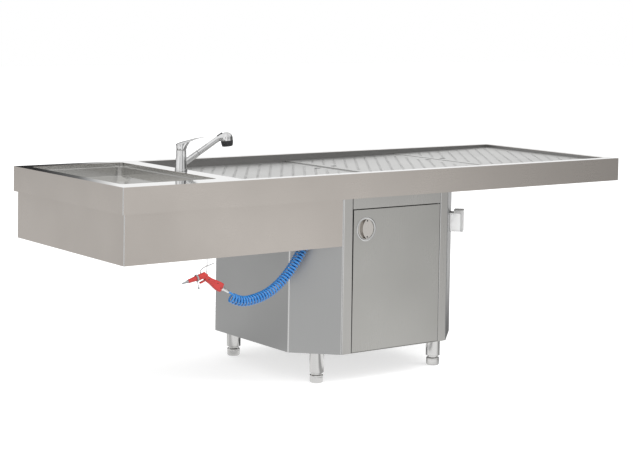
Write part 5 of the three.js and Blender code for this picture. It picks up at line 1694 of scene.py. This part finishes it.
    @staticmethod
    def spray() -> Piece:
        """Makes the ribbed skirt of the spray head with its nozzle plate.

        Returns:
            The spray face, with z out of it.
        """
        profile = [
            (21.0, 4.3), (21.0, 9.7), (24.5, 9.7), (24.9, 10.6), (25.0, 14), (24.4, 20),
            (23.2, 26), (22.0, 31), (21.2, 32.8), (20.0, 33.2), (18.8, 32.6), (18.4, 31.6),
            (17.0, 31.4), (3.0, 31.4),
        ]
        face = Hand.turned("spray_skirt", profile, 72)
        Hand.flute(face, 23.4, 36, 0.25, 0.7)
        for count, reach in ((1, 0.0), (6, 5.4), (12, 10.6), (18, 15.2)):
            for step in range(count):
                nub = Hand.turned("nub", [(1.0, 30), (1.0, 32.4), (0.6, 32.9)], 10)
                Hand.place(nub, spin(360 * step / count, "Z") @ at(reach, 0, 0))
                Hand.combine(face, nub, Way.JOIN)
        return Hand.smooth(face)


@dataclass
class WaterGun:
    """The red water gun on its wire hook, with its trigger, flow lever and connector.

    Its sizes are in millimetres and degrees.
    """

    finish: Finishes
    neck: Point = (-929, -430, 510)
    barrel_drop: float = 13.6
    grip_drop: float = 31.0
    half_thick: float = 9.5
    hook_foot: tuple[float, float] = (-912, -416)
    hook_height: float = 67
    wire_radius: float = 2
    ball_radius: float = 4
    ball_out: float = 40.2
    ball_flat: float = 43.6
    groove_radius: float = 2.2
    groove_shift: float = 1.2
    screw_radius: float = 2.2
    screw_spots: tuple[tuple[float, float], ...] = ((0, 14), (-6, 58), (4, 80))
    grip_rings: tuple[Point, ...] = (
        (0, 11, 0), (0, 11.5, 14), (0.5, 12, 28), (1, 14.5, 44), (1.5, 17, 58), (1.5, 18.5, 72),
        (1, 18, 89),
    )
    hook_line: tuple[Point, ...] = (
        (0, 0, 67), (0, 0, 25), (-1, 0, 10), (-8, 0, 0), (-21, 0, 0), (-29, 0, 10), (-27, -2, 25),
        (-12, -5, 35), (2, -6, 39), (28, -6, 46),
    )

    def make(self) -> None:
        """Builds and dresses the hook and the gun."""
        self.place = at(*self.neck)
        self.barrel = self.place @ spin(-90 - self.barrel_drop, "Y")
        self.grip = self.place @ at(0, 0, -10) @ spin(90 + self.grip_drop, "Y")
        self.low = span("spray_hook")[1] - self.hook_height
        self.hook()
        self.body()
        self.nozzle()
        dressed("gun_trigger", "trigger", self.finish.red, 1.6, 4)
        self.flow_lever()
        self.connector()
        self.screws()

    def hook(self) -> None:
        """Bends the hook from round wire."""
        knots = [Vector(p) * MM for p in self.hook_line]
        points = []
        for i in range(len(knots) - 1):
            p1, p2 = knots[i], knots[i + 1]
            p0 = knots[i - 1] if i else 2 * p1 - p2
            p3 = knots[i + 2] if i < len(knots) - 2 else 2 * p2 - p1
            ways = (2 * p1, p2 - p0, 2 * p0 - 5 * p1 + 4 * p2 - p3, 3 * p1 - p0 - 3 * p2 + p3)
            for k in range(8):
                t = k / 8
                points.append(0.5 * (ways[0] + ways[1] * t + ways[2] * t * t + ways[3] * t**3))
        points.append(knots[-1])
        foot = Vector(mm(*self.hook_foot, self.low))
        wire = Hand.wire("wire_hook", [p + foot for p in points], self.wire_radius * MM, 16)
        finished(wire, self.finish.chrome, "spray_hook")

    def body(self) -> None:
        """Joins the barrel, the head and the ribbed grip, and rounds them."""
        side, low = self.half_thick, self.low - self.neck[2]
        to_grip, to_barrel = (self.place.inverted() @ m for m in (self.grip, self.barrel))
        rings = [(shift, wide, side, z) for shift, wide, z in self.grip_rings]
        grip = Hand.soften(Hand.lofted("gun_shell", rings, 4), 5.5, 5)
        Hand.place(grip, to_grip)
        head = Hand.box("head", mm(-20, -side, -14), mm(10, side, 4))
        Hand.combine(grip, Hand.soften(head, 3.5, 4), Way.JOIN)
        rings = [
            (12.4, 0), (12.4, 1), (11.0, 22), (11.6, 23), (11.6, 30), (10.6, 31), (8.0, 70),
            (7.5, 76), (6.6, 78),
        ]
        Hand.combine(grip, Hand.place(Hand.turned("cone", rings, 64), to_barrel), Way.JOIN)
        for (shift, wide, z), (next_shift, next_wide, next_z) in zip(
            self.grip_rings[2:], self.grip_rings[3:]
        ):
            for share in (0.25, 0.75):
                edge = (shift + wide) * (1 - share) + (next_shift + next_wide) * share
                groove = Hand.rod("groove", self.groove_radius, -12, 12, 20)
                spot = at(edge + self.groove_shift, 0, z + (next_z - z) * share)
                Hand.combine(grip, Hand.place(groove, to_grip @ spot @ spin(90, "X")))
        Hand.smooth(grip, 35)
        lug = Hand.box("lug", mm(-4, 8, low + 2.3), mm(6.5, 18.5, low + 3.9))
        lip = Hand.box("lip", mm(-4, 16.9, low - 4.7), mm(6.5, 18.5, low + 3.9))
        Hand.combine(grip, Hand.combine(lug, lip, Way.JOIN), Way.JOIN)
        finished(Hand.place(grip, self.place), self.finish.red, "gun_body")

    def nozzle(self) -> None:
        """Turns the nozzle."""
        rings = [
            (1.2, 78.3), (6.2, 78.3), (6.4, 80), (5.2, 84), (4.2, 86), (2.6, 104.3), (1.2, 104.3),
        ]
        nozzle = Hand.smooth(Hand.turned("nozzle", rings, 48, hollow=True))
        finished(Hand.place(nozzle, self.barrel), self.finish.grey, "gun_nozzle")

    def connector(self) -> None:
        """Turns the barbed connector under the grip."""
        rings = [
            (4, 89.3), (7.6, 89.3), (8, 90), (8, 98.4), (7.4, 99.3), (6, 99.3), (6, 103),
            (5.2, 104), (6, 109), (5.2, 110), (5.9, 115), (5.1, 116), (5.6, 122), (5, 125.3),
        ]
        connector = Hand.smooth(Hand.turned("connector", rings, 48))
        finished(Hand.place(connector, self.grip), self.finish.chrome, "gun_connector")

    def screws(self) -> None:
        """Sets the screws in the grip's side."""
        for number, (x, z) in enumerate(self.screw_spots):
            screw = Hand.screw("gun_screw_%d" % number, self.screw_radius)
            Hand.place(screw, self.grip @ at(x, 0.1 - self.half_thick, z) @ spin(90, "X"))
            finished(screw, self.finish.dark, beside="gun_body")

    def flow_lever(self) -> None:
        """Makes the ring round the barrel with its rod and ball."""
        rings = [(10.7, 35), (13.6, 35), (14.2, 35.8), (14.2, 40.2), (13.6, 41), (10.7, 41)]
        ring = Hand.turned("flow_ring", rings, 64, hollow=True)
        down = at(0, 0, 38) @ spin(-90, "Y")
        rod = Hand.rod("rod", 1.5, 13, self.ball_out, 24)
        Hand.combine(ring, Hand.place(rod, down), Way.JOIN)
        bpy.ops.object.select_all(action="DESELECT")
        bpy.ops.mesh.primitive_uv_sphere_add(
            segments=32,
            ring_count=20,
            radius=self.ball_radius * MM,
            location=mm(0, 0, self.ball_out),
        )
        ball = Hand.named("ball")
        Hand.edit()
        flat = mm(0, 0, self.ball_flat)
        bpy.ops.mesh.bisect(plane_co=flat, plane_no=(0, 0, 1), clear_outer=True, use_fill=True)
        bpy.ops.object.mode_set(mode="OBJECT")
        Hand.combine(ring, Hand.place(ball, down), Way.JOIN)
        finished(Hand.place(Hand.smooth(ring), self.barrel), self.finish.grey, "gun_flow_lever")


@dataclass
class WallFittings:
    """The splash-proof socket and the hose elbow on the cabinet's corner faces."""

    finish: Finishes

    def make(self) -> None:
        """Builds and dresses the socket and the elbow."""
        f = self.finish
        dressed("socket_base", "socket_box", f.white, 1.6, 3, 50)
        dressed("socket_insert", "contact_block", f.grey, 0.4, 2, 50)
        dressed("socket_lid", "socket_cover", f.cover, 2.2, 4, 50)
        dressed("hose_elbow", "elbow", f.bright, angle=40)


def main() -> None:
    """Builds the camera, the hose, every sub-assembly and the studio, in that order."""
    logging.basicConfig(level=logging.INFO, format="%(message)s")
    PhotoCamera().make()
    finishes = Finishes()
    CoiledHose(finishes.hose).make()
    for assembly in (Worktop, Cabinet, Door, Drains, MixerTap, WaterGun, WallFittings):
        assembly(finishes).make()
    Studio().make()


if __name__ == "__main__":
    main()
